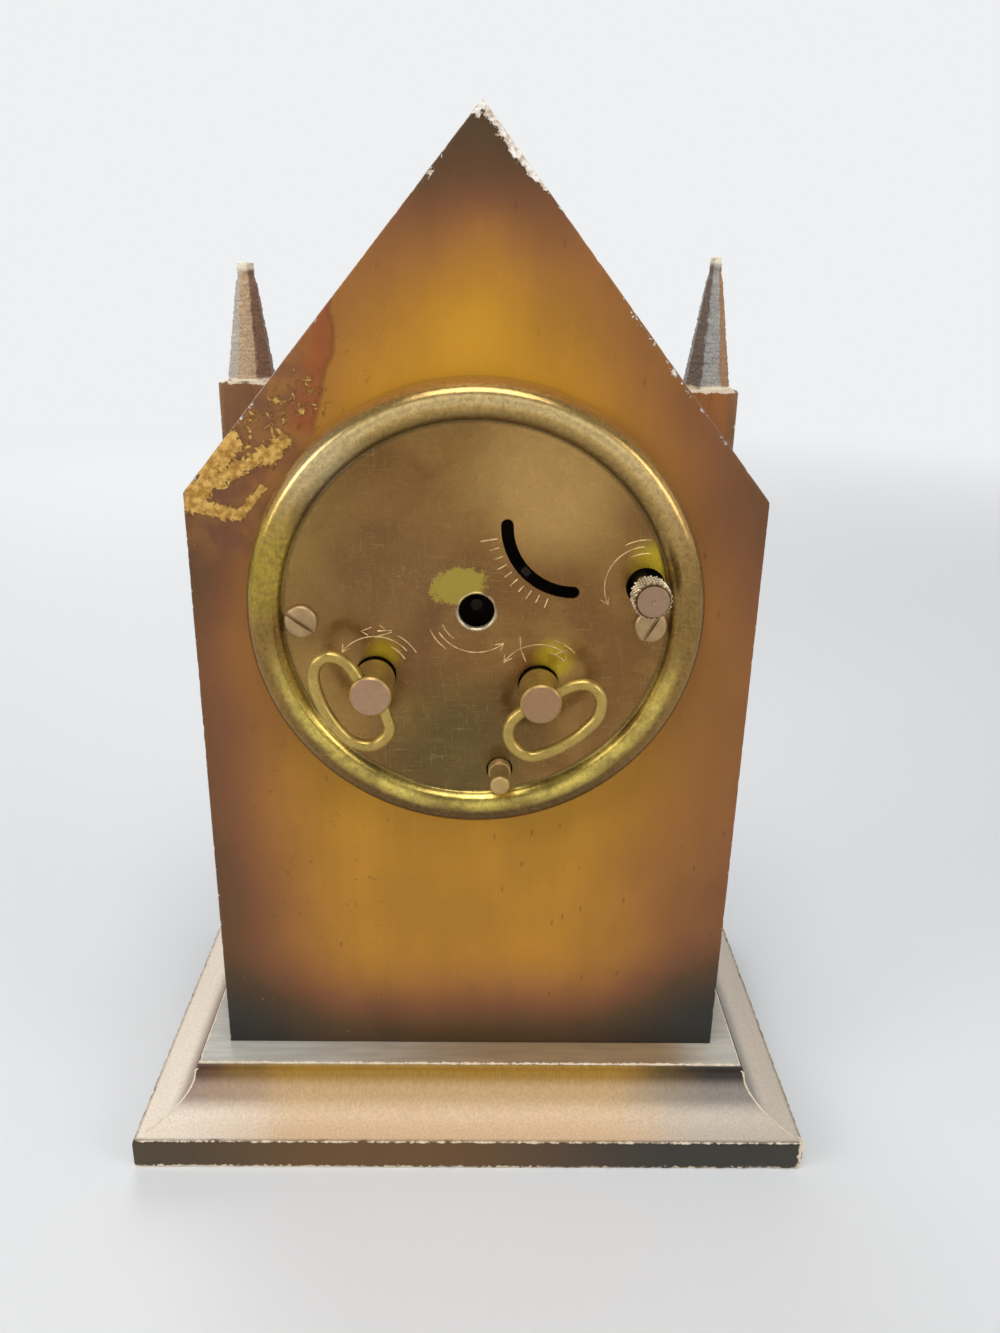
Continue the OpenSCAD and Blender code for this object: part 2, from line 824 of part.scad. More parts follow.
module balance_screws() {
    color(steel) {
        difference() {
            at_depth(balance_at, regulator_at - 0.6)
                cylinder(h = back_inner + 0.4 - regulator_at + 0.6, r = bush_r);
            at_depth(balance_at, back_inner - 0.6)
                cylinder(h = 2, r = pivot_r + run_gap);
        }
        difference() {
            at_depth(balance_at, front_inner - 0.4)
                cylinder(h = plate_t + 0.8, r = bush_r);
            at_depth(balance_at, front_inner - 2 + 0.6)
                cylinder(h = 2, r = pivot_r + run_gap);
        }
    }
}

spring_t = 0.35;
spring_turns = 5;

module mainspring(p, anchor, w) {
    color(blue_steel)
        at_depth(p, spring_at)
            spiral(
                wind_r + 0.05 + spring_t / 2, norm(anchor - p) - post_r - spring_t / 2,
                spring_turns, heading(p, anchor), spring_t, w
            );
}

module time_mainspring() {
    mainspring(time_key_at, cap_screw_at, time_spring_w);
}

module alarm_mainspring() {
    mainspring(alarm_key_at, low_post_at, alarm_spring_w);
}

hair_t = 0.15;
hair_out_r = 4;
hair_stud_r = 0.4;

module hairspring() {
    color(blue_steel) {
        at_depth(balance_at, hairspring_at)
            spiral(staff_r + 0.05 + hair_t / 2, hair_out_r, 5, 90, hair_t, thin_t);
        at_depth(polar(balance_at, hair_out_r + hair_stud_r, 90), back_inner)
            cylinder(h = hairspring_at + thin_t - back_inner, r = hair_stud_r);
    }
}

staff_r = 0.8;
tail_depth = -1;

module centre_arbor() {
    color(steel) {
        at_depth(centre_at, tail_depth)
            cylinder(h = minute_hand_at + hand_t + 0.6 - tail_depth, r = centre_r);
        at_depth(centre_at, back_inner + end_shake)
            cylinder(h = 1.2, r = centre_r + 0.6);
        at_depth(centre_at, front_inner - end_shake - 1.2)
            cylinder(h = 1.2, r = centre_r + 0.6);
    }
}

module cannon_pinion() {
    color(steel)
        difference() {
            union() {
                at_depth(centre_at, motion_at)
                    pinion(cannon_n, motion_m, 1);
                at_depth(centre_at, motion_at)
                    cylinder(h = minute_hand_at - motion_at, r = cannon_out_r);
            }
            at_depth(centre_at, motion_at - cut)
                cylinder(h = minute_hand_at - motion_at + 2 * cut, r = centre_r);
        }
}

// A pointed hand with a round hub and a drilled eye; a turn of 0 points to twelve
module clock_hand(l, hub_r, eye_r, w, turn) {
    rotate([0, 0, turn])
        difference() {
            union() {
                cylinder(h = hand_t, r = hub_r);
                linear_extrude(hand_t)
                    polygon([
                        [-w / 2, 0], [w / 2, 0], [w / 2, l * 0.55], [w, l * 0.68],
                        [0, l], [-w, l * 0.68], [-w / 2, l * 0.55]
                    ]);
            }
            translate([0, 0, -cut])
                cylinder(h = hand_t + 2 * cut, r = eye_r);
        }
}

hand_hub = 0.7;
minute_turn_shown = -60;
hour_turn_shown = 55;
alarm_turn_shown = 180;

module minute_hand() {
    color(blue_steel)
        at_depth(centre_at, minute_hand_at)
            clock_hand(minute_hand_l, cannon_out_r + hand_hub, centre_r, 1, minute_turn_shown);
}

module hour_hand() {
    color(blue_steel)
        at_depth(centre_at, hour_hand_at)
            clock_hand(hour_hand_l, hour_out_r + hand_hub, hour_in_r, 1.3, hour_turn_shown);
}

module alarm_hand() {
    color(blue_steel)
        at_depth(centre_at, alarm_hand_at)
            clock_hand(alarm_hand_l, alarm_out_r + hand_hub, alarm_in_r, 0.9, alarm_turn_shown);
}

module minute_wheel() {
    color(brass)
        difference() {
            union() {
                at_depth(minute_at, motion_at + 0.1)
                    rotate([0, 0, minute_turn])
                        crossed_wheel(minute_n, motion_m, wheel_t, 4, 2.6);
                at_depth(minute_at, motion_at + 0.1)
                    rotate([0, 0, minute_turn])
                        pinion(minute_pinion_n, hour_m, minute_pinion_top - motion_at - 0.1);
            }
            at_depth(minute_at, front_outer)
                cylinder(h = 5, r = stud_r + run_gap);
        }
}

module hour_wheel() {
    color(brass)
        difference() {
            union() {
                at_depth(centre_at, hour_wheel_at)
                    rotate([0, 0, hour_turn])
                        crossed_wheel(hour_n, hour_m, wheel_t, 4, hour_out_r + 0.8);
                at_depth(centre_at, hour_wheel_at)
                    cylinder(h = hour_hand_at - hour_wheel_at, r = hour_out_r);
            }
            at_depth(centre_at, hour_wheel_at - cut)
                cylinder(h = hour_hand_at - hour_wheel_at + 2 * cut, r = hour_in_r);
        }
}

module alarm_wheel() {
    color(brass)
        difference() {
            union() {
                at_depth(centre_at, alarm_wheel_at)
                    rotate([0, 0, alarm_turn])
                        crossed_wheel(alarm_wheel_n, set_m, wheel_t, 5, alarm_out_r + 1);
                at_depth(centre_at, alarm_wheel_at)
                    cylinder(h = alarm_hand_at - alarm_wheel_at, r = alarm_out_r);
            }
            at_depth(centre_at, alarm_wheel_at - cut)
                cylinder(h = alarm_hand_at - alarm_wheel_at + 2 * cut, r = alarm_in_r);
        }
}

// Clicks: a pointed lever beside its ratchet, on a pin of the great wheel
click_pin_r = 0.5;
time_ratchet_r = 4.5;
alarm_ratchet_r = 4;
click_reach = 3;
click_gap = 0.2;

module click(p, ratchet_r, depth) {
    pin = polar([0, 0], ratchet_r + click_reach, 90);
    tip = polar([0, 0], ratchet_r + click_gap + 0.3, 128);
    color(steel)
        difference() {
            at_depth(p, depth)
                union() {
                    translate([pin[0], pin[1], 0])
                        cylinder(h = ratchet_t, r = 1.1);
                    bar(pin, tip, 0.6, ratchet_t);
                }
            at_depth(p, depth - cut)
                translate([pin[0], pin[1], 0])
                    cylinder(h = ratchet_t + 2 * cut, r = click_pin_r + run_gap);
        }
}

module great_wheel(p, n, depth, ratchet_r, ratchet_depth) {
    pin = polar([0, 0], ratchet_r + click_reach, 90);
    color(brass)
        difference() {
            union() {
                at_depth(p, depth)
                    pinion(n, great_m, great_t);
                at_depth(p, ratchet_depth - 0.1)
                    translate([pin[0], pin[1], 0])
                        cylinder(h = depth - ratchet_depth + 0.2, r = click_pin_r);
            }
            at_depth(p, depth - cut)
                cylinder(h = great_t + 2 * cut, r = wind_r + run_gap);
        }
}

module time_great_wheel() {
    great_wheel(time_key_at, great_n, great_at, time_ratchet_r, time_ratchet_at);
}

module alarm_great_wheel() {
    great_wheel(alarm_key_at, alarm_great_n, alarm_great_at, alarm_ratchet_r, alarm_ratchet_at);
}

module time_click() {
    click(time_key_at, time_ratchet_r, time_ratchet_at);
}

module alarm_click() {
    click(alarm_key_at, alarm_ratchet_r, alarm_ratchet_at);
}

module winding_arbor(p, ratchet_r, ratchet_depth) {
    color(steel) {
        at_depth(p, key_bore_end)
            cylinder(h = front_outer - key_bore_end, r = wind_pivot_r);
        at_depth(p, back_inner + end_shake)
            cylinder(h = plate_space - 2 * end_shake, r = wind_r);
        at_depth(p, ratchet_depth)
            ratchet(16, ratchet_r, 0.7, ratchet_t);
    }
}

key_bore_end = -3.6;
key_foot = 2.4;

module time_winding_arbor() {
    winding_arbor(time_key_at, time_ratchet_r, time_ratchet_at);
}

module alarm_winding_arbor() {
    winding_arbor(alarm_key_at, alarm_ratchet_r, alarm_ratchet_at);
}

// Keys: a barrel on a neck, cross-drilled for the bow's two ends
barrel_from = -6.2;
hinge_in = 1.5;
bow_hole_depth = 1.6;
time_bow_turn = 53;
alarm_bow_turn = -31;

module key(p, proud, turn) {
    color(key_metal)
        difference() {
            union() {
                at_depth(p, barrel_from)
                    cylinder(h = key_foot - barrel_from, r = neck_r);
                at_depth(p, -proud + 0.3)
                    cylinder(h = barrel_from + proud - 0.3, r = barrel_r);
                at_depth(p, -proud)
                    cylinder(h = 0.3, r1 = barrel_r - 0.3, r2 = barrel_r);
            }
            at_depth(p, key_bore_end)
                cylinder(h = key_foot - key_bore_end + cut, r = wind_pivot_r);
            for (side = [0, 180])
                at_depth(p, -proud + hinge_in)
                    rotate([0, 0, turn + side])
                        rotate([0, 90, 0])
                            translate([0, 0, barrel_r - bow_hole_depth])
                                cylinder(h = bow_hole_depth + cut, r = wire_r + run_gap);
        }
}

// Bow: two ends in the barrel, two round bends and a straight side, hanging below the barrel
module bow(p, proud, turn) {
    bend_x = bow_straight / 2;
    end_x = barrel_r - bow_hole_depth + run_gap;
    color(brass)
        at_depth(p, -proud + hinge_in)
            rotate([0, 0, turn]) {
                for (side = [0, 1])
                    mirror([side, 0, 0]) {
                        translate([end_x, 0, 0])
                            rotate([0, 90, 0])
                                cylinder(h = bend_x - end_x, r = wire_r);
                        translate([bend_x, -bow_bend_r, 0])
                            rotate([0, 0, -90])
                                rotate_extrude(angle = 180)
                                    translate([bow_bend_r, 0])
                                        circle(r = wire_r);
                    }
                translate([-bend_x, -2 * bow_bend_r, 0])
                    rotate([0, 90, 0])
                        cylinder(h = 2 * bend_x, r = wire_r);
            }
}

module time_key() {
    key(time_key_at, time_key_proud, time_bow_turn);
}

module time_key_bow() {
    bow(time_key_at, time_key_proud, time_bow_turn);
}

module alarm_key() {
    key(alarm_key_at, alarm_key_proud, alarm_bow_turn);
}

module alarm_key_bow() {
    bow(alarm_key_at, alarm_key_proud, alarm_bow_turn);
}

arbor_r = 0.75;

module intermediate_wheel() {
    color(brass) {
        staff(inter_at, arbor_r, back_plate_depth, front_outer);
        at_depth(inter_at, inter_wheel_at)
            rotate([0, 0, inter_turn])
                crossed_wheel(inter_n, great_m, wheel_t, 4, 2);
        at_depth(inter_at, inter_pinion_at)
            rotate([0, 0, inter_turn])
                pinion(inter_pinion_n, great_m, 2);
    }
}

module centre_wheel() {
    pipe_l = centre_wheel_at + wheel_t - centre_pinion_at;
    bore = centre_r + run_gap;
    color(brass)
        difference() {
            union() {
                at_depth(centre_at, centre_pinion_at)
                    cylinder(h = pipe_l, r = bore + pipe_wall);
                at_depth(centre_at, centre_wheel_at)
                    rotate([0, 0, centre_turn])
                        crossed_wheel(centre_n, centre_m, wheel_t, 5, 2.6);
                at_depth(centre_at, centre_pinion_at)
                    rotate([0, 0, centre_turn])
                        pinion(centre_pinion_n, great_m, pinion_t);
            }
            at_depth(centre_at, centre_pinion_at - cut)
                cylinder(h = pipe_l + 2 * cut, r = bore);
        }
}

// A train staff with a thin wheel and the pinion that drives it
module train_staff(p, turn, wheel_depth, wheel_n, wheel_m, pinion_depth, pinion_n, pinion_m) {
    color(brass) {
        staff(p, arbor_r, back_plate_depth, front_outer);
        at_depth(p, wheel_depth)
            rotate([0, 0, turn])
                crossed_wheel(wheel_n, wheel_m, thin_t, 4, 1.8);
        at_depth(p, pinion_depth)
            rotate([0, 0, turn])
                pinion(pinion_n, pinion_m, pinion_t);
    }
}

module third_wheel() {
    train_staff(
        third_at, third_turn, third_wheel_at, third_n, third_m, third_pinion_at, third_pinion_n, centre_m
    );
}

module fourth_wheel() {
    train_staff(
        fourth_at, fourth_turn, fourth_wheel_at, fourth_n, fourth_m,
        fourth_pinion_at, fourth_pinion_n, third_m
    );
}

module escape_wheel() {
    color(brass) {
        staff(escape_at, 0.6, back_plate_depth, front_outer);
        at_depth(escape_at, escape_wheel_at)
            ratchet(escape_n, escape_r, 1.1, lever_t);
        at_depth(escape_at, escape_pinion_at)
            rotate([0, 0, escape_turn])
                pinion(escape_pinion_n, fourth_m, pinion_t);
    }
}

// Pin-pallet lever: two pins astride the escape wheel, and a fork towards the balance
pallet_pin_r = 0.25;
pallet_pin_in = 0.8;
pallet_pin_side = 2.6;
fork_end = 6.3;

module pallet_lever() {
    way_in = heading(pallet_at, escape_at);
    way_out = heading(pallet_at, balance_at);
    pins = [for (side = [-1, 1])
        polar([0, 0], pallet_pin_in, way_in) + polar([0, 0], side * pallet_pin_side, way_in + 90)];
    fork = polar([0, 0], fork_end, way_out);
    color(steel) {
        staff(pallet_at, 0.6, back_plate_depth, front_outer);
        at_depth(pallet_at, lever_at) {
            cylinder(h = lever_t, r = 1.3);
            for (pin = pins)
                bar([0, 0], pin, 0.8, lever_t);
            bar([0, 0], fork, 0.8, lever_t);
            for (side = [-1, 1])
                bar(
                    fork, fork + polar([0, 0], 1.1, way_out + side * 40), 0.5, lever_t
                );
        }
        for (pin = pins)
            at_depth(pallet_at + pin, escape_wheel_at - 0.2)
                cylinder(h = lever_at - escape_wheel_at + 0.2, r = pallet_pin_r);
    }
}

module balance_wheel() {
    pin_at = polar(balance_at, 1.4, heading(balance_at, pallet_at));
    color(brass) {
        difference() {
            at_depth(balance_at, rim_at)
                cylinder(h = rim_t, r = balance_r);
            at_depth(balance_at, rim_at - cut)
                cylinder(h = rim_t + 2 * cut, r = balance_r - 0.9);
        }
        at_depth(balance_at, rim_at)
            rotate([0, 0, 20])
                translate([-balance_r + 0.4, -0.7, 0.2])
                    cube([2 * balance_r - 0.8, 1.4, 0.8]);
        at_depth(balance_at, back_inner + 0.6)
            cylinder(h = plate_space - 1.2, r = staff_r);
        at_depth(balance_at, back_inner - 0.4)
            cylinder(h = plate_space + 0.8, r = pivot_r);
        at_depth(balance_at, roller_at)
            cylinder(h = 0.6, r = 2);
        at_depth(pin_at, lever_at + lever_t + 0.15)
            cylinder(h = roller_at - lever_at - lever_t - 0.15, r = 0.3);
    }
}

module alarm_star_wheel() {
    color(brass) {
        staff(star_at, arbor_r, back_plate_depth, front_outer);
        at_depth(star_at, star_wheel_at)
            ratchet(star_n, star_r, 1, wheel_t);
        at_depth(star_at, alarm_pinion_at)
            rotate([0, 0, star_turn])
                pinion(alarm_pinion_n, alarm_m, 2);
    }
}

hammer_l = 13;
hammer_turn = -45;
hammer_head_r = 2.2;

module alarm_hammer() {
    head = polar(hammer_at, hammer_l, hammer_turn);
    color(steel) {
        staff(hammer_at, arbor_r, back_plate_depth, front_outer);
        at_depth(hammer_at, star_wheel_at)
            cylinder(h = hammer_arm_at - star_wheel_at + 0.8, r = 1.5);
        at_depth(hammer_at, hammer_arm_at)
            bar([0, 0], head - hammer_at, 1.1, 0.8);
        at_depth(head, hammer_arm_at - 1.6)
            cylinder(h = 3.4, r = hammer_head_r);
    }
}

knob_seat = -7.2;
knob_bore_end = 1.6;
set_shaft_r = 1.55;
knurls = 20;

module alarm_set_arbor() {
    color(key_metal) {
        at_depth(set_at, knob_bore_end - knob_proud)
            cylinder(h = alarm_wheel_at + wheel_t + 0.6 - knob_bore_end + knob_proud, r = set_arbor_r);
        at_depth(set_at, knob_seat)
            cylinder(h = back_plate_depth - end_shake - knob_seat, r = set_shaft_r);
        at_depth(set_at, back_inner + end_shake)
            cylinder(h = 1, r = set_shaft_r);
        at_depth(set_at, alarm_wheel_at - 0.3)
            pinion(set_pinion_n, set_m, wheel_t + 0.6);
    }
}

module alarm_set_knob() {
    color(key_metal)
        difference() {
            union() {
                at_depth(set_at, -knob_proud + 0.6)
                    cylinder(h = knob_seat + knob_proud - 0.6, r = knob_r);
                at_depth(set_at, -knob_proud)
                    cylinder(h = 0.6, r1 = knob_r - 0.6, r2 = knob_r);
            }
            at_depth(set_at, knob_bore_end - knob_proud)
                cylinder(h = knob_proud, r = set_arbor_r);
            for (i = [0:knurls - 1])
                at_depth(set_at, -knob_proud - cut)
                    rotate([0, 0, i * 360 / knurls])
                        translate([knob_r + 0.12, 0, 0])
                            rotate([0, 0, 45])
                                translate([-0.25, -0.25, 0])
                                    cube([0.5, 0.5, knob_proud]);
        }
}

tab_w = 1.2;
tab_l = 1.4;
regulator_turn = -45;

module regulator_lever() {
    color(steel)
        difference() {
            union() {
                at_depth(balance_at, regulator_at)
                    cylinder(h = regulator_t, r = bush_r + 1.3);
                at_depth(balance_at, regulator_at)
                    rotate([0, 0, regulator_turn])
                        translate([0, -tab_l / 2, 0])
                            cube([slot_r + tab_w / 2, tab_l, regulator_t]);
                at_depth(balance_at, cap_inner + 0.2)
                    rotate([0, 0, regulator_turn])
                        translate([slot_r - tab_w / 2, -tab_l / 2, 0])
                            cube([tab_w, tab_l, regulator_at + regulator_t - cap_inner - 0.2]);
            }
            at_depth(balance_at, regulator_at - cut)
                cylinder(h = regulator_t + 2 * cut, r = bush_r + run_gap);
        }
}

plunger_stop_gap = 0.3;
plunger_foot = back_plate_depth - plunger_stop_gap - stop_travel;
stem_end = 9;

module stop_plunger() {
    color(key_metal) {
        at_depth(stop_at, -stop_proud + 0.3)
            cylinder(h = plunger_foot + stop_proud - 0.3, r = stop_r);
        at_depth(stop_at, -stop_proud)
            cylinder(h = 0.3, r1 = stop_r - 0.3, r2 = stop_r);
        at_depth(stop_at, plunger_foot)
            cylinder(h = stem_end - plunger_foot, r = stem_r);
    }
}

base_plinth();
case_block();
front_panel();
left_pillar();
right_pillar();
left_spire();
right_spire();
gable_moulding();
tablet_moulding();
base_screws();
drum_case();
back_cap();
cap_screws();
front_bezel();
glass();
dial();
dial_ring();
back_plate();
front_plate();
plate_pillars();
pillar_nuts();
balance_screws();
time_mainspring();
alarm_mainspring();
hairspring();
centre_arbor();
cannon_pinion();
minute_hand();
minute_wheel();
hour_wheel();
hour_hand();
time_great_wheel();
time_click();
intermediate_wheel();
centre_wheel();
third_wheel();
fourth_wheel();
escape_wheel();
pallet_lever();
balance_wheel();
time_winding_arbor();
time_key();
time_key_bow();
alarm_winding_arbor();
alarm_key();
alarm_key_bow();
alarm_great_wheel();
alarm_click();
alarm_star_wheel();
alarm_hammer();
alarm_set_arbor();
alarm_set_knob();
alarm_wheel();
alarm_hand();
regulator_lever();
stop_plunger();
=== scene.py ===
# %% [markdown]
# # A small steeple alarm clock, seen from the back
# This notebook dresses a finished construction model in Blender. The model
# brings every piece at its real size: case, pillars, brass back cap, keys,
# wheels and hands. Here the wood gets its sprayed lacquer and worn edges, and
# the brass gets its age. Everything is in metres and stays where the model
# says.

# %% Load the construction model
import json
import math

import bmesh
import bpy
from mathutils import Matrix, Vector, noise


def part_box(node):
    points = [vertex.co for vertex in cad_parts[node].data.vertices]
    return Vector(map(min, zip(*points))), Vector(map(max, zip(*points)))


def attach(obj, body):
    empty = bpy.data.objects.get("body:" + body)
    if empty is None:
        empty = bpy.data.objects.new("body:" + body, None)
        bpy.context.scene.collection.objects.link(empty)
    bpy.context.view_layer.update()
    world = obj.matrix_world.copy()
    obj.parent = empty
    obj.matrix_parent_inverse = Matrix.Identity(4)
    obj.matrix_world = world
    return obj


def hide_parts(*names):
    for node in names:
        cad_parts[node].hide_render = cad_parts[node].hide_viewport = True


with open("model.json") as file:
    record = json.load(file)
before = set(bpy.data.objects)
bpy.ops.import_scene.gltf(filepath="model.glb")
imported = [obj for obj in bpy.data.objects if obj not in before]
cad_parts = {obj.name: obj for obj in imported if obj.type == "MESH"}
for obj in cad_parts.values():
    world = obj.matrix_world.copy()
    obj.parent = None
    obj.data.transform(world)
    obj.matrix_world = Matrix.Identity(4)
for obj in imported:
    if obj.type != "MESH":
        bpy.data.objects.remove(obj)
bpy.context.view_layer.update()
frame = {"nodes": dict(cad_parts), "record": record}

mm = 0.001

# %% [markdown]
# The finishes need places to refer to: the wooden back face, the gable's
# slope, the middle of the dial. They are measured from the model's own
# pieces, so nothing has to be typed twice. The clock's dial looks along -Y,
# and its brass cap looks along +Y, which is the side that this scene shows.

# %% Measure the clock
block_low, block_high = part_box("case_block")
cap_low, cap_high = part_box("back_cap")
dial_low, dial_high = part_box("dial")
plinth_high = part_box("base_plinth")[1]
back_y = block_high.y
half_body = block_high.x
apex_z = block_high.z
eaves_z = 122.5 * mm
gable_slope = (apex_z - eaves_z) / half_body
gable_angle = math.atan(gable_slope)
arbor_z = (dial_low.z + dial_high.z) / 2
cap_z = (cap_low.z + cap_high.z) / 2
cap_r = (cap_high.x - cap_low.x) / 2
plate_y = back_y + 4.5 * mm
print("cap radius", round(cap_r / mm, 2), "mm, arbor height", round(arbor_z / mm, 2), "mm")

# %% [markdown]
# ## Camera
# A phone close to the clock gives strong perspective: the sides run together
# downwards. The camera's place and its two directions are typed as round real
# values. The lens is given for a 36 mm sensor along the picture's long side.

# %% Place the camera


def new_object(name, data):
    """An object for some data, put in the scene."""
    made = bpy.data.objects.new(name, data)
    bpy.context.collection.objects.link(made)
    return made


camera_data = bpy.data.cameras.new("photo_view")
camera_data.sensor_width = 36
camera_data.lens = 27.93
camera_data.clip_start = 0.005
camera_data.clip_end = 20
camera = new_object("photo_view", camera_data)
forward = Vector((-0.020341, -0.937219, -0.348150)).normalized()
sideways = Vector((-0.999710, 0.014559, 0.019216)).normalized()
upwards = sideways.cross(forward).normalized()
turn = Matrix((sideways, upwards, -forward)).transposed().to_4x4()
camera_place = Vector((-0.514, 185.475, 154.897)) * mm
camera.matrix_world = Matrix.Translation(camera_place) @ turn
bpy.context.scene.camera = camera
bpy.context.scene.view_settings.view_transform = "Standard"
print("camera at", [round(c / mm) for c in camera.location], "mm")

# %% [markdown]
# ## Light and floor
# Brass only looks like brass when it has something bright and something dim
# to mirror. The room is a plain sphere of light, pale at the height of the
# horizon and dimmer above. Wide soft lamps hang over and beside the camera.
# The floor is a plain pale sheet.

# %% Build the room
world = bpy.data.worlds.new("studio")
bpy.context.scene.world = world
world.use_nodes = True
sky = world.node_tree
direction = sky.nodes.new("ShaderNodeTexCoord")
split = sky.nodes.new("ShaderNodeSeparateXYZ")
band = sky.nodes.new("ShaderNodeMapRange")
band.interpolation_type = "SMOOTHSTEP"
horizon_top, dim_from = 0.28, 0.62
band.inputs["From Min"].default_value = horizon_top
band.inputs["From Max"].default_value = dim_from
shade = sky.nodes.new("ShaderNodeMix")
shade.data_type = "RGBA"
pale_wall, dim_ceiling = (0.86, 0.87, 0.88, 1), (0.16, 0.165, 0.17, 1)
shade.inputs["A"].default_value = pale_wall
shade.inputs["B"].default_value = dim_ceiling
sky.links.new(direction.outputs["Generated"], split.inputs[0])
sky.links.new(split.outputs["Z"], band.inputs["Value"])
sky.links.new(band.outputs[0], shade.inputs["Factor"])
sky.links.new(shade.outputs["Result"], sky.nodes["Background"].inputs["Color"])


def soft_lamp(name, place, target, size, power):
    """A square lamp at a place in metres, turned to a target."""
    data = bpy.data.lights.new(name, "AREA")
    data.size = size
    data.energy = power
    lamp = new_object(name, data)
    lamp.location = place
    lamp.rotation_euler = (Vector(target) - Vector(place)).to_track_quat("-Z", "Y").to_euler()


clock_middle = (0, 0, 0.09)
soft_lamp("overhead", (0.0, 0.35, 0.95), clock_middle, 0.55, 5.2)
soft_lamp("left_window", (0.85, 0.45, 0.5), clock_middle, 0.45, 2.6)
soft_lamp("right_window", (-0.85, 0.45, 0.5), clock_middle, 0.45, 2.1)
soft_lamp("front_fill", (0.3, -0.9, 0.5), clock_middle, 0.6, 3.4)

# %% [markdown]
# The floor is one flat sheet, far larger than the picture. It lies a hair
# below the plinth, so that the two faces don't fight over the same place.
# A single face is enough, because it never shows its edge.

# %% Lay the floor
floor_half, floor_gap = 8.0, 0.02 * mm
floor_corners = [(x * floor_half, y * floor_half, 0) for x, y in ((-1, -1), (1, -1), (1, 1), (-1, 1))]
floor_mesh = bpy.data.meshes.new("floor")
floor_mesh.from_pydata(floor_corners, [], [(0, 1, 2, 3)])
floor = new_object("floor", floor_mesh)
floor.location.z = -floor_gap
print("floor is", 2 * floor_half, "m wide")

# %% [markdown]
# ## A helper for finishes
# A finish is a chain of small steps: cloudy noise, a fade across a distance,
# a mix of two colours. The classes keep those steps short. A value of the
# finish can be added, multiplied and compared like a number, and each such
# sign adds one step. Every pattern reads Object coordinates, so its size is a
# real size: places and distances are in metres, and the features of a pattern
# in millimetres. A colour of three numbers is a colour as it looks on screen.

# %% Define the finish helper


def seen(red, green, blue):
    """A colour as it looks on screen, 0 to 255, as a shader's linear values."""
    return tuple(((c / 255 + 0.055) / 1.055) ** 2.4 for c in (red, green, blue)) + (1.0,)


class Value:
    """A number or colour that changes over the surface of a finish."""

    def __init__(self, look, socket):
        self.look, self.socket = look, socket

    def __add__(self, other):
        return self.look.do("ADD", self, other)

    def __sub__(self, other):
        return self.look.do("SUBTRACT", self, other)

    def __rsub__(self, other):
        return self.look.do("SUBTRACT", other, self)

    def __mul__(self, other):
        return self.look.do("MULTIPLY", self, other)

    def __truediv__(self, other):
        return self.look.do("DIVIDE", self, other)

    def __abs__(self):
        return self.look.do("ABSOLUTE", self)


def largest(first, *others):
    """The largest of some values, of which the first belongs to a finish."""
    for other in others:
        first = first.look.do("MAXIMUM", first, other)
    return first


def smallest(first, *others):
    """The smallest of some values, of which the first belongs to a finish."""
    for other in others:
        first = first.look.do("MINIMUM", first, other)
    return first


def length(across, up):
    """How far a place is that lies so far across and so far up."""
    return across.look.do("SQRT", across * across + up * up)


def ridge(value, width):
    """1 where the value is 0, falling to 0 and below at a width on both sides."""
    return 1.0 - abs(value) / width


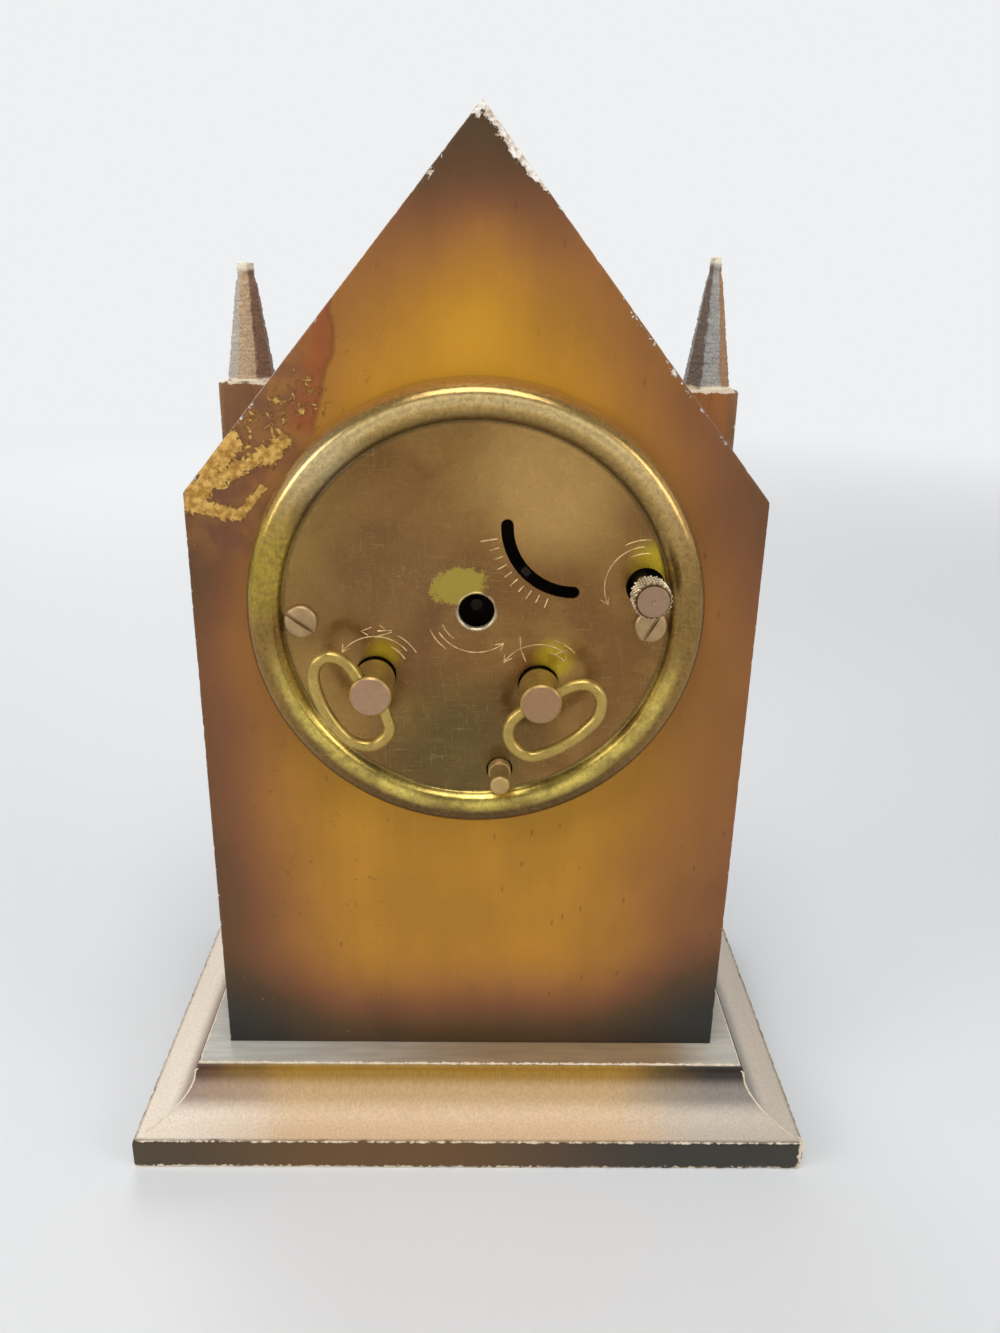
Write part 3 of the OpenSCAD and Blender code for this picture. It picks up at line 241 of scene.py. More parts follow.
class Finish:
    """One material, built up in steps on the piece's own metres."""

    usual = (0.3, 0.7)

    def __init__(self, name, rough=0.5, metal=0.0):
        self.material = bpy.data.materials.new(name)
        self.material.use_nodes = True
        self.tree = self.material.node_tree
        self.shader = self.tree.nodes["Principled BSDF"]
        self.dress(Roughness=rough, Metallic=metal)
        self.place = Value(self, self.step("ShaderNodeTexCoord").outputs["Object"])
        axes = self.step("ShaderNodeSeparateXYZ")
        self.put(axes.inputs[0], self.place)
        self.x, self.y, self.z = (Value(self, axis) for axis in axes.outputs)

    def step(self, kind, **settings):
        """A new step of the chain."""
        node = self.tree.nodes.new(kind)
        for key, value in settings.items():
            setattr(node, key, value)
        return node

    def put(self, socket, value):
        """Links a value to a socket, or sets a plain number or colour there."""
        if isinstance(value, Value):
            self.tree.links.new(value.socket, socket)
        else:
            socket.default_value = seen(*value) if isinstance(value, tuple) and len(value) == 3 else value

    def give(self, node, *keys, **values):
        """Puts values on a step's sockets, and gives back what comes out of it."""
        for key, value in values.items():
            self.put(node.inputs[key.replace("_", " ")], value)
        return Value(self, node.outputs[keys[0] if keys else 0])

    def dress(self, **values):
        """Puts values on the shader's own sockets."""
        self.give(self.shader, **values)

    def do(self, operation, *values):
        """One arithmetic step, such as ADD or MULTIPLY."""
        node = self.step("ShaderNodeMath", operation=operation)
        for socket, value in zip(node.inputs, values):
            self.put(socket, value)
        return Value(self, node.outputs[0])

    def fade(self, value, start, end, low=0.0, high=1.0):
        """Goes smoothly from low to high as the value goes from start to end."""
        node = self.step("ShaderNodeMapRange", interpolation_type="SMOOTHSTEP")
        return self.give(node, Value=value, From_Min=start, From_Max=end, To_Min=low, To_Max=high)

    def vary(self, cloud, low=0.0, high=1.0):
        """Spreads a cloud's usual values over low to high."""
        return self.fade(cloud, *self.usual, low, high)

    def stretched(self, size, grain, shift):
        """Coordinates for features of a size in millimetres, drawn out along the grain."""
        scale = [1 / (size * mm * g) for g in grain]
        node = self.step("ShaderNodeMapping")
        node.inputs["Scale"].default_value = scale
        node.inputs["Location"].default_value = shift
        return self.give(node, Vector=self.place)

    def cloud(self, size, detail=3.0, grain=(1, 1, 1), shift=(0, 0, 0), warp=0.0, rough=0.5):
        """Cloudy noise between about 0.2 and 0.8, its size in millimetres."""
        return self.give(self.step("ShaderNodeTexNoise"), Vector=self.stretched(size, grain, shift),
                         Scale=1.0, Detail=detail, Distortion=warp, Roughness=rough)

    def cells(self, size, grain=(1, 1, 1)):
        """Distance to the nearest of scattered points, 0 at each point."""
        places = self.stretched(size, grain, (0, 0, 0))
        return self.give(self.step("ShaderNodeTexVoronoi"), "Distance", Vector=places, Scale=1.0)

    def mix(self, amount, first, second):
        """The first colour, turning into the second as the amount goes to 1."""
        node = self.step("ShaderNodeMix", data_type="RGBA")
        return self.give(node, "Result", Factor=amount, A=first, B=second)

    def tint(self, colour, factor):
        """The colour with its brightness times a factor."""
        node = self.step("ShaderNodeVectorMath", operation="SCALE")
        self.put(node.inputs[0], list(seen(*colour)[:3]) if isinstance(colour, tuple) else colour)
        return self.give(node, Scale=factor)

    def ramp(self, value, stops):
        """A colour band: stops are (position, colour) pairs."""
        node = self.step("ShaderNodeValToRGB")
        band_stops = node.color_ramp.elements
        while len(band_stops) < len(stops):
            band_stops.new(0.5)
        for element, (position, colour) in zip(band_stops, stops):
            element.position = position
            element.color = seen(*colour)
        return self.give(node, Fac=value)

    def near(self, px, pz, radius, soft):
        """1 within a radius of a point of the XZ plane, fading to 0 over a soft edge, in millimetres."""
        away = length(self.x - px * mm, self.z - pz * mm)
        return self.fade(away, (radius + soft) * mm, radius * mm)

    def from_line(self, start, end):
        """Distance in the XZ plane from the straight piece between two places in millimetres."""
        run = (Vector(end) - Vector(start)) * mm
        dx, dz = self.x - start[0] * mm, self.z - start[1] * mm
        along = dx * (run.x / run.length_squared) + dz * (run.y / run.length_squared)
        along = smallest(largest(along, 0.0), 1.0)
        return length(dx - along * run.x, dz - along * run.y)

    def relief(self, height, depth):
        """Bumps the surface by a height pattern, depth in metres."""
        self.dress(Normal=self.give(self.step("ShaderNodeBump"), Distance=depth, Height=height))

    def finish(self, colour, rough=None, specular=None):
        """Puts the colour and the gloss on the shader, and gives back the material."""
        self.dress(Base_Color=colour)
        if rough is not None:
            self.dress(Roughness=rough)
        if specular is not None:
            self.dress(Specular_IOR_Level=specular)
        return self.material


floor_look = Finish("floor_paint", rough=0.7)
pale_grey, paler_grey = (0.74, 0.75, 0.76, 1), (0.77, 0.78, 0.79, 1)
floor_paint = floor_look.finish(floor_look.mix(floor_look.cloud(400, detail=2), pale_grey, paler_grey))
# far behind the clock the floor turns into the wall's colour, for the camera only
reach = floor_look.step("ShaderNodeVectorMath", operation="LENGTH")
floor_look.put(reach.inputs[0], floor_look.place)
far_off = floor_look.fade(Value(floor_look, reach.outputs["Value"]), 0.22, 1.1)
seen_directly = floor_look.give(floor_look.step("ShaderNodeLightPath"), "Is Camera Ray")
haze = floor_look.give(floor_look.step("ShaderNodeEmission"), Color=pale_wall)
blend_in = floor_look.step("ShaderNodeMixShader")
painted = Value(floor_look, floor_look.shader.outputs[0])
for socket, value in zip(blend_in.inputs, (far_off * seen_directly, painted, haze)):
    floor_look.put(socket, value)
floor_look.put(floor_look.tree.nodes["Material Output"].inputs["Surface"],
               Value(floor_look, blend_in.outputs[0]))
floor_mesh.materials.append(floor_paint)
print("floor painted")

# %% [markdown]
# ## Lacquer on the case
# The case was sprayed in the old sunburst way: clear amber over pale wood in
# the middle, and darker brown mist towards every edge, almost black in the
# lower corners. One number per point says how dark the mist is. It is
# worked out from the distance to the sides, the gable and the foot, and a
# colour band turns it into lacquer. Drawn-out noise adds the upright grain.

# %% Paint the case
SIDE_BROWN, SIDE_DARK = (112, 74, 46), (74, 50, 36)
LACQUER_BAND = [
    (0.0, (190, 137, 34)), (0.22, (172, 119, 38)), (0.45, (150, 99, 46)),
    (0.65, (120, 77, 46)), (0.82, (84, 61, 38)), (1.0, (46, 46, 42))]
# pieces of the flaked band: two ends in millimetres, and half its width there
FLAKED = (((45.6, 121.4), (38.8, 130.6), 1.75), ((41.4, 124.6), (30.4, 130.4), 1.25),
          ((44.2, 120.2), (38.4, 119.2), 1.0), ((38.2, 119.4), (34.2, 123.4), 0.6))


def grain_of(look, width, reach):
    """Fine streaks of upright wood grain, width across and reach along, in millimetres."""
    grain = (1, 1, reach / width)
    fine = look.cloud(width, detail=5, grain=grain, rough=0.6)
    broad = look.cloud(6 * width, grain=grain, shift=(3.1, 1.7, 0.4))
    return fine * 0.6 + broad * 0.4


def case_lacquer(look):
    """The misty lacquer, the distance to the gable's slope and the grain."""
    drift = (look.cloud(22) - 0.5) * (9 * mm)
    x, z = look.x + drift, look.z + drift
    to_rake = (apex_z - abs(look.x) * gable_slope - z) * math.cos(gable_angle)
    mists = (
        look.fade(x, 18 * mm, 50 * mm, 0.0, 0.72), look.fade(x, -14 * mm, -50 * mm, 0.0, 0.56),
        look.fade(z, 84 * mm, 40 * mm, 0.0, 0.2), look.fade(to_rake, 22 * mm, -1 * mm, 0.0, 0.44),
        look.fade(z, 149 * mm, 178 * mm, 0.0, 0.72), look.fade(z, 40 * mm, 14 * mm, 0.0, 0.83),
        look.near(-50, 14, 5, 27), look.near(50, 12, 3, 22))
    clear = 1.0
    for mist in mists:
        clear = (1.0 - mist) * clear
    colour = look.ramp(1.0 - clear, LACQUER_BAND)
    grain = grain_of(look, 0.45, 14)
    colour = look.tint(colour, look.vary(grain, 0.975, 1.025))
    blotch = look.cloud(13, detail=5, grain=(1, 1, 1.6), shift=(5, 2, 7))
    colour = look.tint(colour, look.vary(blotch, 0.9, 1.08))
    flecks = look.fade(look.cells(3.2, grain=(1, 1, 3)), 0.10, 0.04)
    return look.mix(flecks * 0.45, colour, (92, 60, 26)), to_rake, grain


def paint_case():
    look = Finish("case_lacquer")
    colour, to_rake, grain = case_lacquer(look)
    back = look.fade(look.y, back_y - 1.2 * mm, back_y - 0.2 * mm)
    # a purple-brown second coat over the knocked shoulder, redder and darker towards its edge
    wobble = (look.cloud(5, detail=4, shift=(7, 7, 1)) - 0.5) * (2.6 * mm)
    inside = look.x + wobble - look.fade(look.z, 130 * mm, 146 * mm, 26.2 * mm, 22.6 * mm)
    second = look.fade(inside, 0.0, 0.5 * mm) * look.fade(look.z + wobble * 3.0, 106 * mm, 118 * mm) * back
    patchy = look.fade(look.cloud(4.2, detail=5, shift=(3, 8, 8)), 0.38, 0.66)
    colour = look.mix(second * 0.62, colour, look.mix(patchy, (116, 74, 52), (146, 100, 52)))
    high = look.fade(look.z, 131 * mm, 134 * mm) * back
    red = look.fade(inside, -0.3 * mm, 0.5 * mm) * look.fade(inside, 5.5 * mm, 1.5 * mm) * high
    colour = look.mix(red * 0.6, colour, (148, 74, 32))
    brink = look.fade(abs(inside), 0.7 * mm, 0.1 * mm) * high
    colour = look.mix(brink * 0.5, colour, (104, 56, 22))
    # golden wood where that coat flaked off, in bands that climb towards the cap
    flaked = [look.fade(look.from_line(start, end), 2.2 * half * mm, 0.1 * half * mm)
              for start, end, half in FLAKED]
    scattered = look.fade(look.from_line((42, 126), (27, 138)), 5.5 * mm, 2 * mm, 0.0, 0.38)
    ragged = look.cloud(1.5, detail=8, warp=0.7, rough=0.76)
    bare_level = ragged + largest(scattered, *flaked) * 0.3
    on_back = look.fade(look.x, 12 * mm, 18 * mm) * back
    bare = look.fade(bare_level, 0.655, 0.672) * on_back
    rim = look.fade(bare_level, 0.61, 0.65) * on_back
    colour = look.mix(rim * 0.6, colour, (88, 54, 32))
    gold = look.mix(look.vary(look.cloud(0.9, detail=5)), (160, 114, 46), (214, 172, 92))
    colour = look.mix(bare, colour, gold)
    # the sides and the roof, which the picture hides, carry plain brown with a grain
    colour = look.mix(back, look.mix(look.vary(grain), SIDE_DARK, SIDE_BROWN), colour)
    # pale wood along the arris: a thin broken line, with chips beside the apex
    line_w = 0.42 * mm
    beside_apex = look.fade(look.z, 160 * mm, 174 * mm) * look.fade(look.x, 1.6 * mm, 0.4 * mm)
    from_face = back_y - look.y
    edge = 1.0 - largest(to_rake, from_face) / look.fade(beside_apex, 0.0, 1.0, line_w, 1.7 * mm)
    side_edge = 1.0 - largest(half_body - abs(look.x), from_face) / line_w
    tip = (look.z - (apex_z - 2.4 * mm)) / (1.6 * mm) * look.fade(from_face, 3 * mm, 2 * mm)
    edge = largest(smallest(largest(edge, side_edge, tip), 1.0), 0.0)
    keen = largest(beside_apex, look.fade(look.z, 176 * mm, 178 * mm))
    chip_noise = look.cloud(1.3, detail=7, rough=0.72, shift=(1, 9, 4))
    chips = look.fade(chip_noise + edge * look.fade(keen, 0.0, 1.0, 0.11, 0.38), 0.64, 0.67)
    chips = chips * look.fade(edge, 0.0, 0.1)
    pale = look.mix(look.vary(look.cloud(0.6, detail=4)), (184, 160, 132), (240, 234, 226))
    colour = look.mix(chips, colour, pale)
    worn = bare + chips
    rough = largest(look.vary(look.cloud(9, detail=4, shift=(2, 2, 2)), 0.34, 0.5), worn * 0.7)
    look.relief(worn * -0.7 + grain * 0.12, 0.25 * mm)
    return look.finish(colour, rough, specular=0.22)


case_paint = paint_case()
print("case paint has", len(case_paint.node_tree.nodes), "steps")

# %% [markdown]
# ## A helper for worn wooden solids
# A sharp CAD edge never looks like old wood. The wooden pieces are skins
# through many rings of points. The rings that lie on an edge are pulled in a
# little by seeded noise, a lot where the noise peaks, and that leaves small
# dents and chips. Everything is pulled inwards, so the piece never grows.

# %% Define the worn skins
square_to_axis, same_place = 0.99999, 1e-7


def as_data(name, mesh):
    """The bmesh as mesh data. The bmesh is freed."""
    data = bpy.data.meshes.new(name)
    mesh.to_mesh(data)
    mesh.free()
    return data


def absorb(mesh, data):
    """Adds mesh data to a bmesh and drops the data."""
    mesh.from_mesh(data)
    bpy.data.meshes.remove(data)
    return mesh


def lay(name, mesh, material, body, slot, *nodes, crease=38):
    """Turns a bmesh into a finished piece that rides on a body and stands for nodes."""
    data = as_data(name, mesh)
    piece = new_object(name, data)
    data.materials.append(material)
    data.shade_smooth()
    data.set_sharp_from_angle(angle=math.radians(crease))
    for face in data.polygons:
        # faces square to an axis are true planes and shade as planes
        face.use_smooth = max(abs(c) for c in face.normal) < square_to_axis
    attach(piece, body)
    if nodes:
        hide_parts(*nodes)
    print(name, len(data.polygons), "faces")


def skin(rings, close_low=True, close_high=True):
    """A skin through rings that all have the same number of points."""
    mesh = bmesh.new()
    rows = [[mesh.verts.new(point) for point in ring] for ring in rings]
    for low, high in zip(rows, rows[1:]):
        for i in range(len(low)):
            j = (i + 1) % len(low)
            mesh.faces.new((low[i], low[j], high[j], high[i]))
    if close_low:
        mesh.faces.new(rows[0][::-1])
    if close_high:
        mesh.faces.new(rows[-1])
    bmesh.ops.recalc_face_normals(mesh, faces=mesh.faces)
    return mesh, rows


def outline(corners, spacing, inset=0.0):
    """Points at about a spacing along a closed outline set inwards, each with its outward normal."""
    count = len(corners)
    sides = [corners[(i + 1) % count] - corners[i] for i in range(count)]
    outs = [Vector((side.y, -side.x)).normalized() for side in sides]
    # at a corner the two sides' normals share the pull
    mitres = [(outs[i] + outs[i - 1]) / (1 + outs[i].dot(outs[i - 1])) for i in range(count)]
    inner = [corner - mitre * inset for corner, mitre in zip(corners, mitres)]
    points = []
    for i, side in enumerate(sides):
        steps = max(2, round(side.length / spacing))
        run = inner[(i + 1) % count] - inner[i]
        points += [(inner[i] + run * k / steps, outs[i] if k else mitres[i]) for k in range(steps)]
    return points


def dent(place, size, depth):
    """How far an edge is worn in at a place: small waves, and chips where the noise peaks."""
    wave = 0.12 * (noise.noise(place / size * 0.5) + 1)
    peak = max(0.0, noise.noise(place / size) - 0.22) * 2.2
    fine = max(0.0, noise.noise(place / size * 3.1) - 0.3)
    return depth * (wave + peak + 0.4 * fine)


def plain_mesh(holder):
    """The object's shape with its modifiers worked out, as mesh data. The object is removed."""
    data = bpy.data.meshes.new_from_object(holder.evaluated_get(bpy.context.evaluated_depsgraph_get()))
    holder.modifiers.clear()
    bpy.data.objects.remove(holder)
    return data


def carve(mesh, tools):
    """The mesh with the tools cut away, as a new bmesh."""
    for part in (mesh, tools):
        bmesh.ops.recalc_face_normals(part, faces=part.faces)
    carved = new_object("carved", as_data("carved", mesh))
    blades = new_object("tools", as_data("tools", tools))
    cut = carved.modifiers.new("cut", "BOOLEAN")
    cut.object = blades
    cut.solver = "EXACT"
    result = absorb(bmesh.new(), plain_mesh(carved))
    bpy.data.objects.remove(blades)
    return result


def screw_wells():
    """The wells of the two wood screws that hold the block on the plinth."""
    wells = bmesh.new()
    for x in (-23.5 * mm, 23.5 * mm):
        for radius, low, high in ((3.9 * mm, -1 * mm, 3 * mm), (2.0 * mm, -0.9 * mm, 29.3 * mm)):
            spot = Matrix.Translation((x, 5.3 * mm, (low + high) / 2))
            bmesh.ops.create_cone(wells, cap_ends=True, segments=40, radius1=radius, radius2=radius,
                                  depth=high - low, matrix=spot)
    return wells


# %% [markdown]
# ## Plinth
# The plinth is one board with a moulded edge: an upright slab edge, a hollow
# cove and a flat platform, mitred at the corners. A profile of inset and
# height is carried round the rectangle. The slab's lower edge and its corners
# took most of the knocks.

# %% Model the plinth
slab_t, cove_rise, cove_run, platform_z = 6.3 * mm, 7.6 * mm, 10.2 * mm, plinth_high.z
cove_foot = 0.6 * mm
edge_round = 0.35 * mm


def plinth_profile():
    """(inset, height, wear) from the underside to the platform."""
    profile = [(1.2 * mm, 0, 0), (edge_round, 0, 0.6), (0.1 * mm, 0.1 * mm, 1.0), (0, edge_round, 0.8)]
    profile += [(0, slab_t * k / 8, 0.05) for k in range(1, 8)]
    profile += [(0, slab_t - edge_round, 0.5), (0.08 * mm, slab_t - 0.08 * mm, 0.8)]
    reach = cove_run - cove_foot
    for k in range(1, 17):
        a = math.pi / 2 * k / 17
        profile.append((reach * math.sin(a), slab_t + cove_rise * (1 - math.cos(a)), 0.06))
    cove_top = slab_t + cove_rise
    profile += [(reach + 0.05 * mm, cove_top, 0.1), (cove_run, cove_top + 0.05 * mm, 0.2)]
    profile += [(cove_run, platform_z - edge_round, 0.5), (cove_run + 0.1 * mm, platform_z - 0.1 * mm, 0.8)]
    profile += [(cove_run + edge_round, platform_z, 0.6), (cove_run + 1.4 * mm, platform_z, 0)]
    return profile


def model_plinth():
    half = (plinth_high.x, plinth_high.y)
    signs = [(-1, -1), (1, -1), (1, 1), (-1, 1)]
    base_points = outline([Vector((sx * half[0], sy * half[1])) for sx, sy in signs], 0.7 * mm)
    rings = []
    for inset, height, wear in plinth_profile():
        ring = []
        for point, out in base_points:
            reach = Vector((point.x * (1 - inset / half[0]), point.y * (1 - inset / half[1])))
            place = Vector((reach.x, reach.y, height))
            corner = min(half[0] - abs(point.x), half[1] - abs(point.y)) + max(
                half[0] - abs(point.x), half[1] - abs(point.y))
            knocked = 1 + 2.2 * max(0.0, 1 - corner / (3 * mm))
            pull = wear * knocked * dent(place, 1.9 * mm, 0.2 * mm)
            lift = pull * (0.6 if height < slab_t / 2 else -0.5) if wear > 0.3 else 0
            ring.append((reach.x - out.x * pull, reach.y - out.y * pull, height + lift))
        rings.append(ring)
    return carve(skin(rings)[0], screw_wells())


plinth_mesh = model_plinth()
print("plinth modelled:", len(plinth_mesh.faces), "faces")

# %% [markdown]
# The plinth's lacquer is misty too: amber along the cove's upper part in the middle, pink-tan below it, and
# grey to black at the corners. The cove's lower part and the grey at its ends are painted paler than the
# lacquer, as a painted sheen of the light from above, and both ends of the platform carry a pale grey painted
# sheen. The slab's edge is dark brown with pale bruises on its lower arris.

# %% Paint the plinth
# rows from the cove's top to its foot: strength at the ends, middle, +x end, -x end; the upper row is
# lacquer, the paler middle and lower rows are lacquer with a painted sheen
COVE_LACQUER_AND_SHEEN = (
    (1.0, (158, 120, 46), (88, 62, 48), (52, 46, 40)),
    (1.0, (188, 156, 112), (152, 130, 116), (134, 126, 116)),
    (0.8, (214, 184, 148), (234, 222, 206), (194, 186, 174)))


def paint_plinth():
    look = Finish("plinth_lacquer")
    in_x, in_y = plinth_high.x - abs(look.x), plinth_high.y - abs(look.y)
    inset, mitre = smallest(in_x, in_y), abs(in_x - in_y)
    drift = (look.cloud(14, detail=4) - 0.5) * (22 * mm)
    minus = look.fade(look.x, 10 * mm, -40 * mm)
    to_end = in_x + drift - minus * (8 * mm)
    end = largest(look.fade(to_end, 30 * mm, 8 * mm), look.fade(mitre + drift, 17 * mm, 1 * mm))
    streaks = look.cloud(0.45, detail=5, grain=(1, 1, 7), rough=0.65)
    top, middle, low = (
        look.mix(end * strength, clear, look.mix(minus, plus_end, minus_end))
        for strength, clear, plus_end, minus_end in COVE_LACQUER_AND_SHEEN)
    # the cove turns paler towards its foot, which faces the light: painted sheen
    cove = look.mix(look.fade(look.z, 9.6 * mm, 7.2 * mm), middle, low)
    cove = look.mix(look.fade(look.z, 10.6 * mm, 13.2 * mm), cove, top)
    cove = look.tint(cove, look.vary(streaks, 0.88, 1.1))
    edge = look.mix(minus, (100, 70, 35), (52, 48, 40))
    edge = look.mix(look.fade(look.x, 24 * mm, 60 * mm, 0.0, 0.8), edge, (62, 54, 40))
    colour = look.mix(look.fade(look.z, slab_t - 0.15 * mm, slab_t + 0.05 * mm), edge, cove)
    # pale grey towards both ends of the platform: a painted sheen over the brown lacquer
    platform_with_sheen = look.mix(look.fade(look.x, -10 * mm, 46 * mm), (150, 124, 92), (180, 176, 166))
    platform_with_sheen = look.mix(look.fade(look.x, -36 * mm, -48 * mm), platform_with_sheen, (188, 182, 170))
    platform_with_sheen = look.tint(platform_with_sheen, look.vary(look.cloud(1.2, detail=5, grain=(8, 1, 1)), 0.88, 1.08))
    colour = look.mix(look.fade(look.z, platform_z - 0.5 * mm, platform_z - 0.1 * mm), colour, platform_with_sheen)
    # thin pale lines on the arrises and the mitres, and bruises on the lowest one
    at_end = look.fade(in_x - in_y, 0.4 * mm, -0.4 * mm) * look.fade(
        look.z, slab_t - 0.1 * mm, slab_t + 0.1 * mm)
    upper = ridge(largest(abs(look.z - slab_t), inset), 0.45 * mm) * look.fade(at_end, 0.0, 1.0, 0.92, 0.5)
    lip = ridge(look.z - (platform_z - 0.1 * mm), 0.2 * mm)
    lip = lip * look.fade(inset, cove_run + 0.7 * mm, cove_run + 0.3 * mm)
    joint = ridge(mitre, 0.4 * mm) * look.fade(look.z, slab_t, slab_t + 0.3 * mm, 0.0, 1.3)
    joint = joint * look.fade(inset, cove_run, cove_run - 0.3 * mm)
    foot_edge = ridge(look.z, 1.0 * mm) * look.fade(look.x, -30 * mm, 55 * mm, 0.75, 1.35)
    bare_corner = look.fade(look.x, -60.6 * mm, -61.6 * mm) * look.fade(
        look.y, 34 * mm, 36.5 * mm, 0.0, 0.75)
    bare_corner = bare_corner * look.fade(look.z, slab_t + 0.5 * mm, slab_t)
    worn = largest(upper, joint, lip, foot_edge, 0.0, bare_corner)
    level = look.cloud(1.1, detail=6, rough=0.7) + largest(worn * 0.3, joint * 0.42)
    chips = look.fade(level, 0.62, 0.67) * look.fade(worn, 0.0, 0.15)
    pale = look.mix(look.cloud(0.8), (204, 180, 144), (240, 228, 206))
    look.relief(chips * -0.4 + streaks * 0.3, 0.2 * mm)
    gloss = look.vary(look.cloud(8, detail=4), 0.36, 0.52)
    return look.finish(look.mix(chips, colour, pale), gloss, specular=0.35)


lay("plinth", plinth_mesh, paint_plinth(), "case", "dark_wood", "base_plinth")

# %% [markdown]
# ## Case block
# The block is a thick board with a pointed top and a round hole for the
# movement. Rings that follow the pentagon make its rounded, worn edge. The
# two flat faces are filled between the last ring and the circle of the hole.

# %% Model the case block
bore_r = 34.0 * mm


def model_block():
    corners = [Vector(p) for p in (
        (-half_body, block_low.z), (half_body, block_low.z), (half_body, eaves_z), (0, apex_z),
        (-half_body, eaves_z))]
    front_y = block_low.y
    depth_steps = [
        (1.1 * mm, back_y, 0.0), (0.4 * mm, back_y, 0.5), (0.1 * mm, back_y - 0.1 * mm, 1.0),
        (0, back_y - 0.45 * mm, 0.7), (0, back_y - 2 * mm, 0.1)]
    depth_steps += [(0, back_y + (front_y - back_y) * k / 6, 0.05) for k in range(1, 6)]
    depth_steps += [(0, front_y + 0.3 * mm, 0.2), (0.3 * mm, front_y, 0.2), (1.1 * mm, front_y, 0)]
    rings = []
    for inset, y, wear in depth_steps:
        ring = []
        for point, out in outline(corners, 0.7 * mm, inset):
            place = Vector((point.x, y, point.y))
            to_apex = (Vector((0, apex_z)) - point).length
            knocked = 1 + (1.6 if point.x < 0 else 0.0) * max(0.0, (point.y - 164 * mm) / (15 * mm))
            knocked *= min(1.0, 0.15 + to_apex / (5 * mm))
            if point.y < block_low.z + 0.5 * mm:
                knocked = 0
            pull = wear * knocked * dent(place, 1.5 * mm, 0.13 * mm)
            flat = point - out * pull
            flat.y -= 0.25 * mm * max(0.0, 1 - to_apex / (1.6 * mm)) ** 2
            ring.append((flat.x, y - (pull * 0.5 if y > 0 and wear > 0.3 else 0), flat.y))
        rings.append(ring)
    mesh, rows = skin(rings, close_low=False, close_high=False)
    circle = 160
    holes = []
    for y in (back_y, front_y):
        holes.append([mesh.verts.new((bore_r * math.cos(a), y, arbor_z + bore_r * math.sin(a)))
                      for a in (2 * math.pi * k / circle for k in range(circle))])
    loops = [rows[0], rows[-1]]
    for ring, hole in zip(loops, holes):
        edges = []
        for row in (ring, hole):
            for i, vert in enumerate(row):
                other = row[(i + 1) % len(row)]
                edges.append(mesh.edges.get((vert, other)) or mesh.edges.new((vert, other)))
        bmesh.ops.triangle_fill(mesh, use_beauty=True, use_dissolve=False, edges=edges)
    for k in range(circle):
        j = (k + 1) % circle
        mesh.faces.new((holes[0][k], holes[1][k], holes[1][j], holes[0][j]))
    bmesh.ops.recalc_face_normals(mesh, faces=mesh.faces)
    return mesh


case_mesh = carve(model_block(), screw_wells())
lay("case_body", case_mesh, case_paint, "case", "amber_wood", "case_block")

# %% [markdown]
# ## Pillars and spires
# The pillars are plain square posts whose tops were knocked pale. The spires
# are eight-sided and were cut by a coarse blade that left small steps along
# every arris. Rings set close together up the height carry the wear.

# %% Model the pillars
pillar_spacing = 0.6 * mm


def model_pillar(node, seed):
    low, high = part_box(node)
    corners = [Vector(p) for p in ((low.x, low.y), (high.x, low.y), (high.x, high.y), (low.x, high.y))]
    points = outline(corners, pillar_spacing)
    steps = [(1.0 * mm, low.z, 0), (0, low.z + 0.01 * mm, 0)]
    steps += [(0, low.z + (high.z - low.z - 0.5 * mm) * k / 120, 0.18) for k in range(1, 121)]
    steps += [(0.12 * mm, high.z - 0.12 * mm, 1.0), (0.5 * mm, high.z, 0.8), (1.1 * mm, high.z, 0)]
    middle_x, middle_y = (low.x + high.x) / 2, (low.y + high.y) / 2
    half = (high.x - low.x) / 2
    rings = []
    for inset, height, wear in steps:
        ring = []
        for point, out in points:
            place = Vector((point.x + seed, point.y, height))
            to_corner = 2 * half - abs(point.x - middle_x) - abs(point.y - middle_y)
            arris = max(0.0, 1 - to_corner / (0.7 * mm))
            pull = inset + arris * 0.22 * mm + wear * (1 + arris) * dent(place, 1.9 * mm, 0.3 * mm)
            away = Vector((point.x - middle_x, point.y - middle_y)) * (1 - pull / half)
            drop = 0.6 * wear * dent(place, 1.9 * mm, 0.3 * mm) if height > high.z - 0.2 * mm else 0
            ring.append((middle_x + away.x, middle_y + away.y, height - drop))
        rings.append(ring)
    return skin(rings)[0]


# %% [markdown]
# A spire is a stack of eight-sided rings. Noise and a saw-tooth along the
# height pull each ring in a little, most at the arrises, and a slight waist
# near the top leaves the small worn knob at the tip.

# %% Model the spires


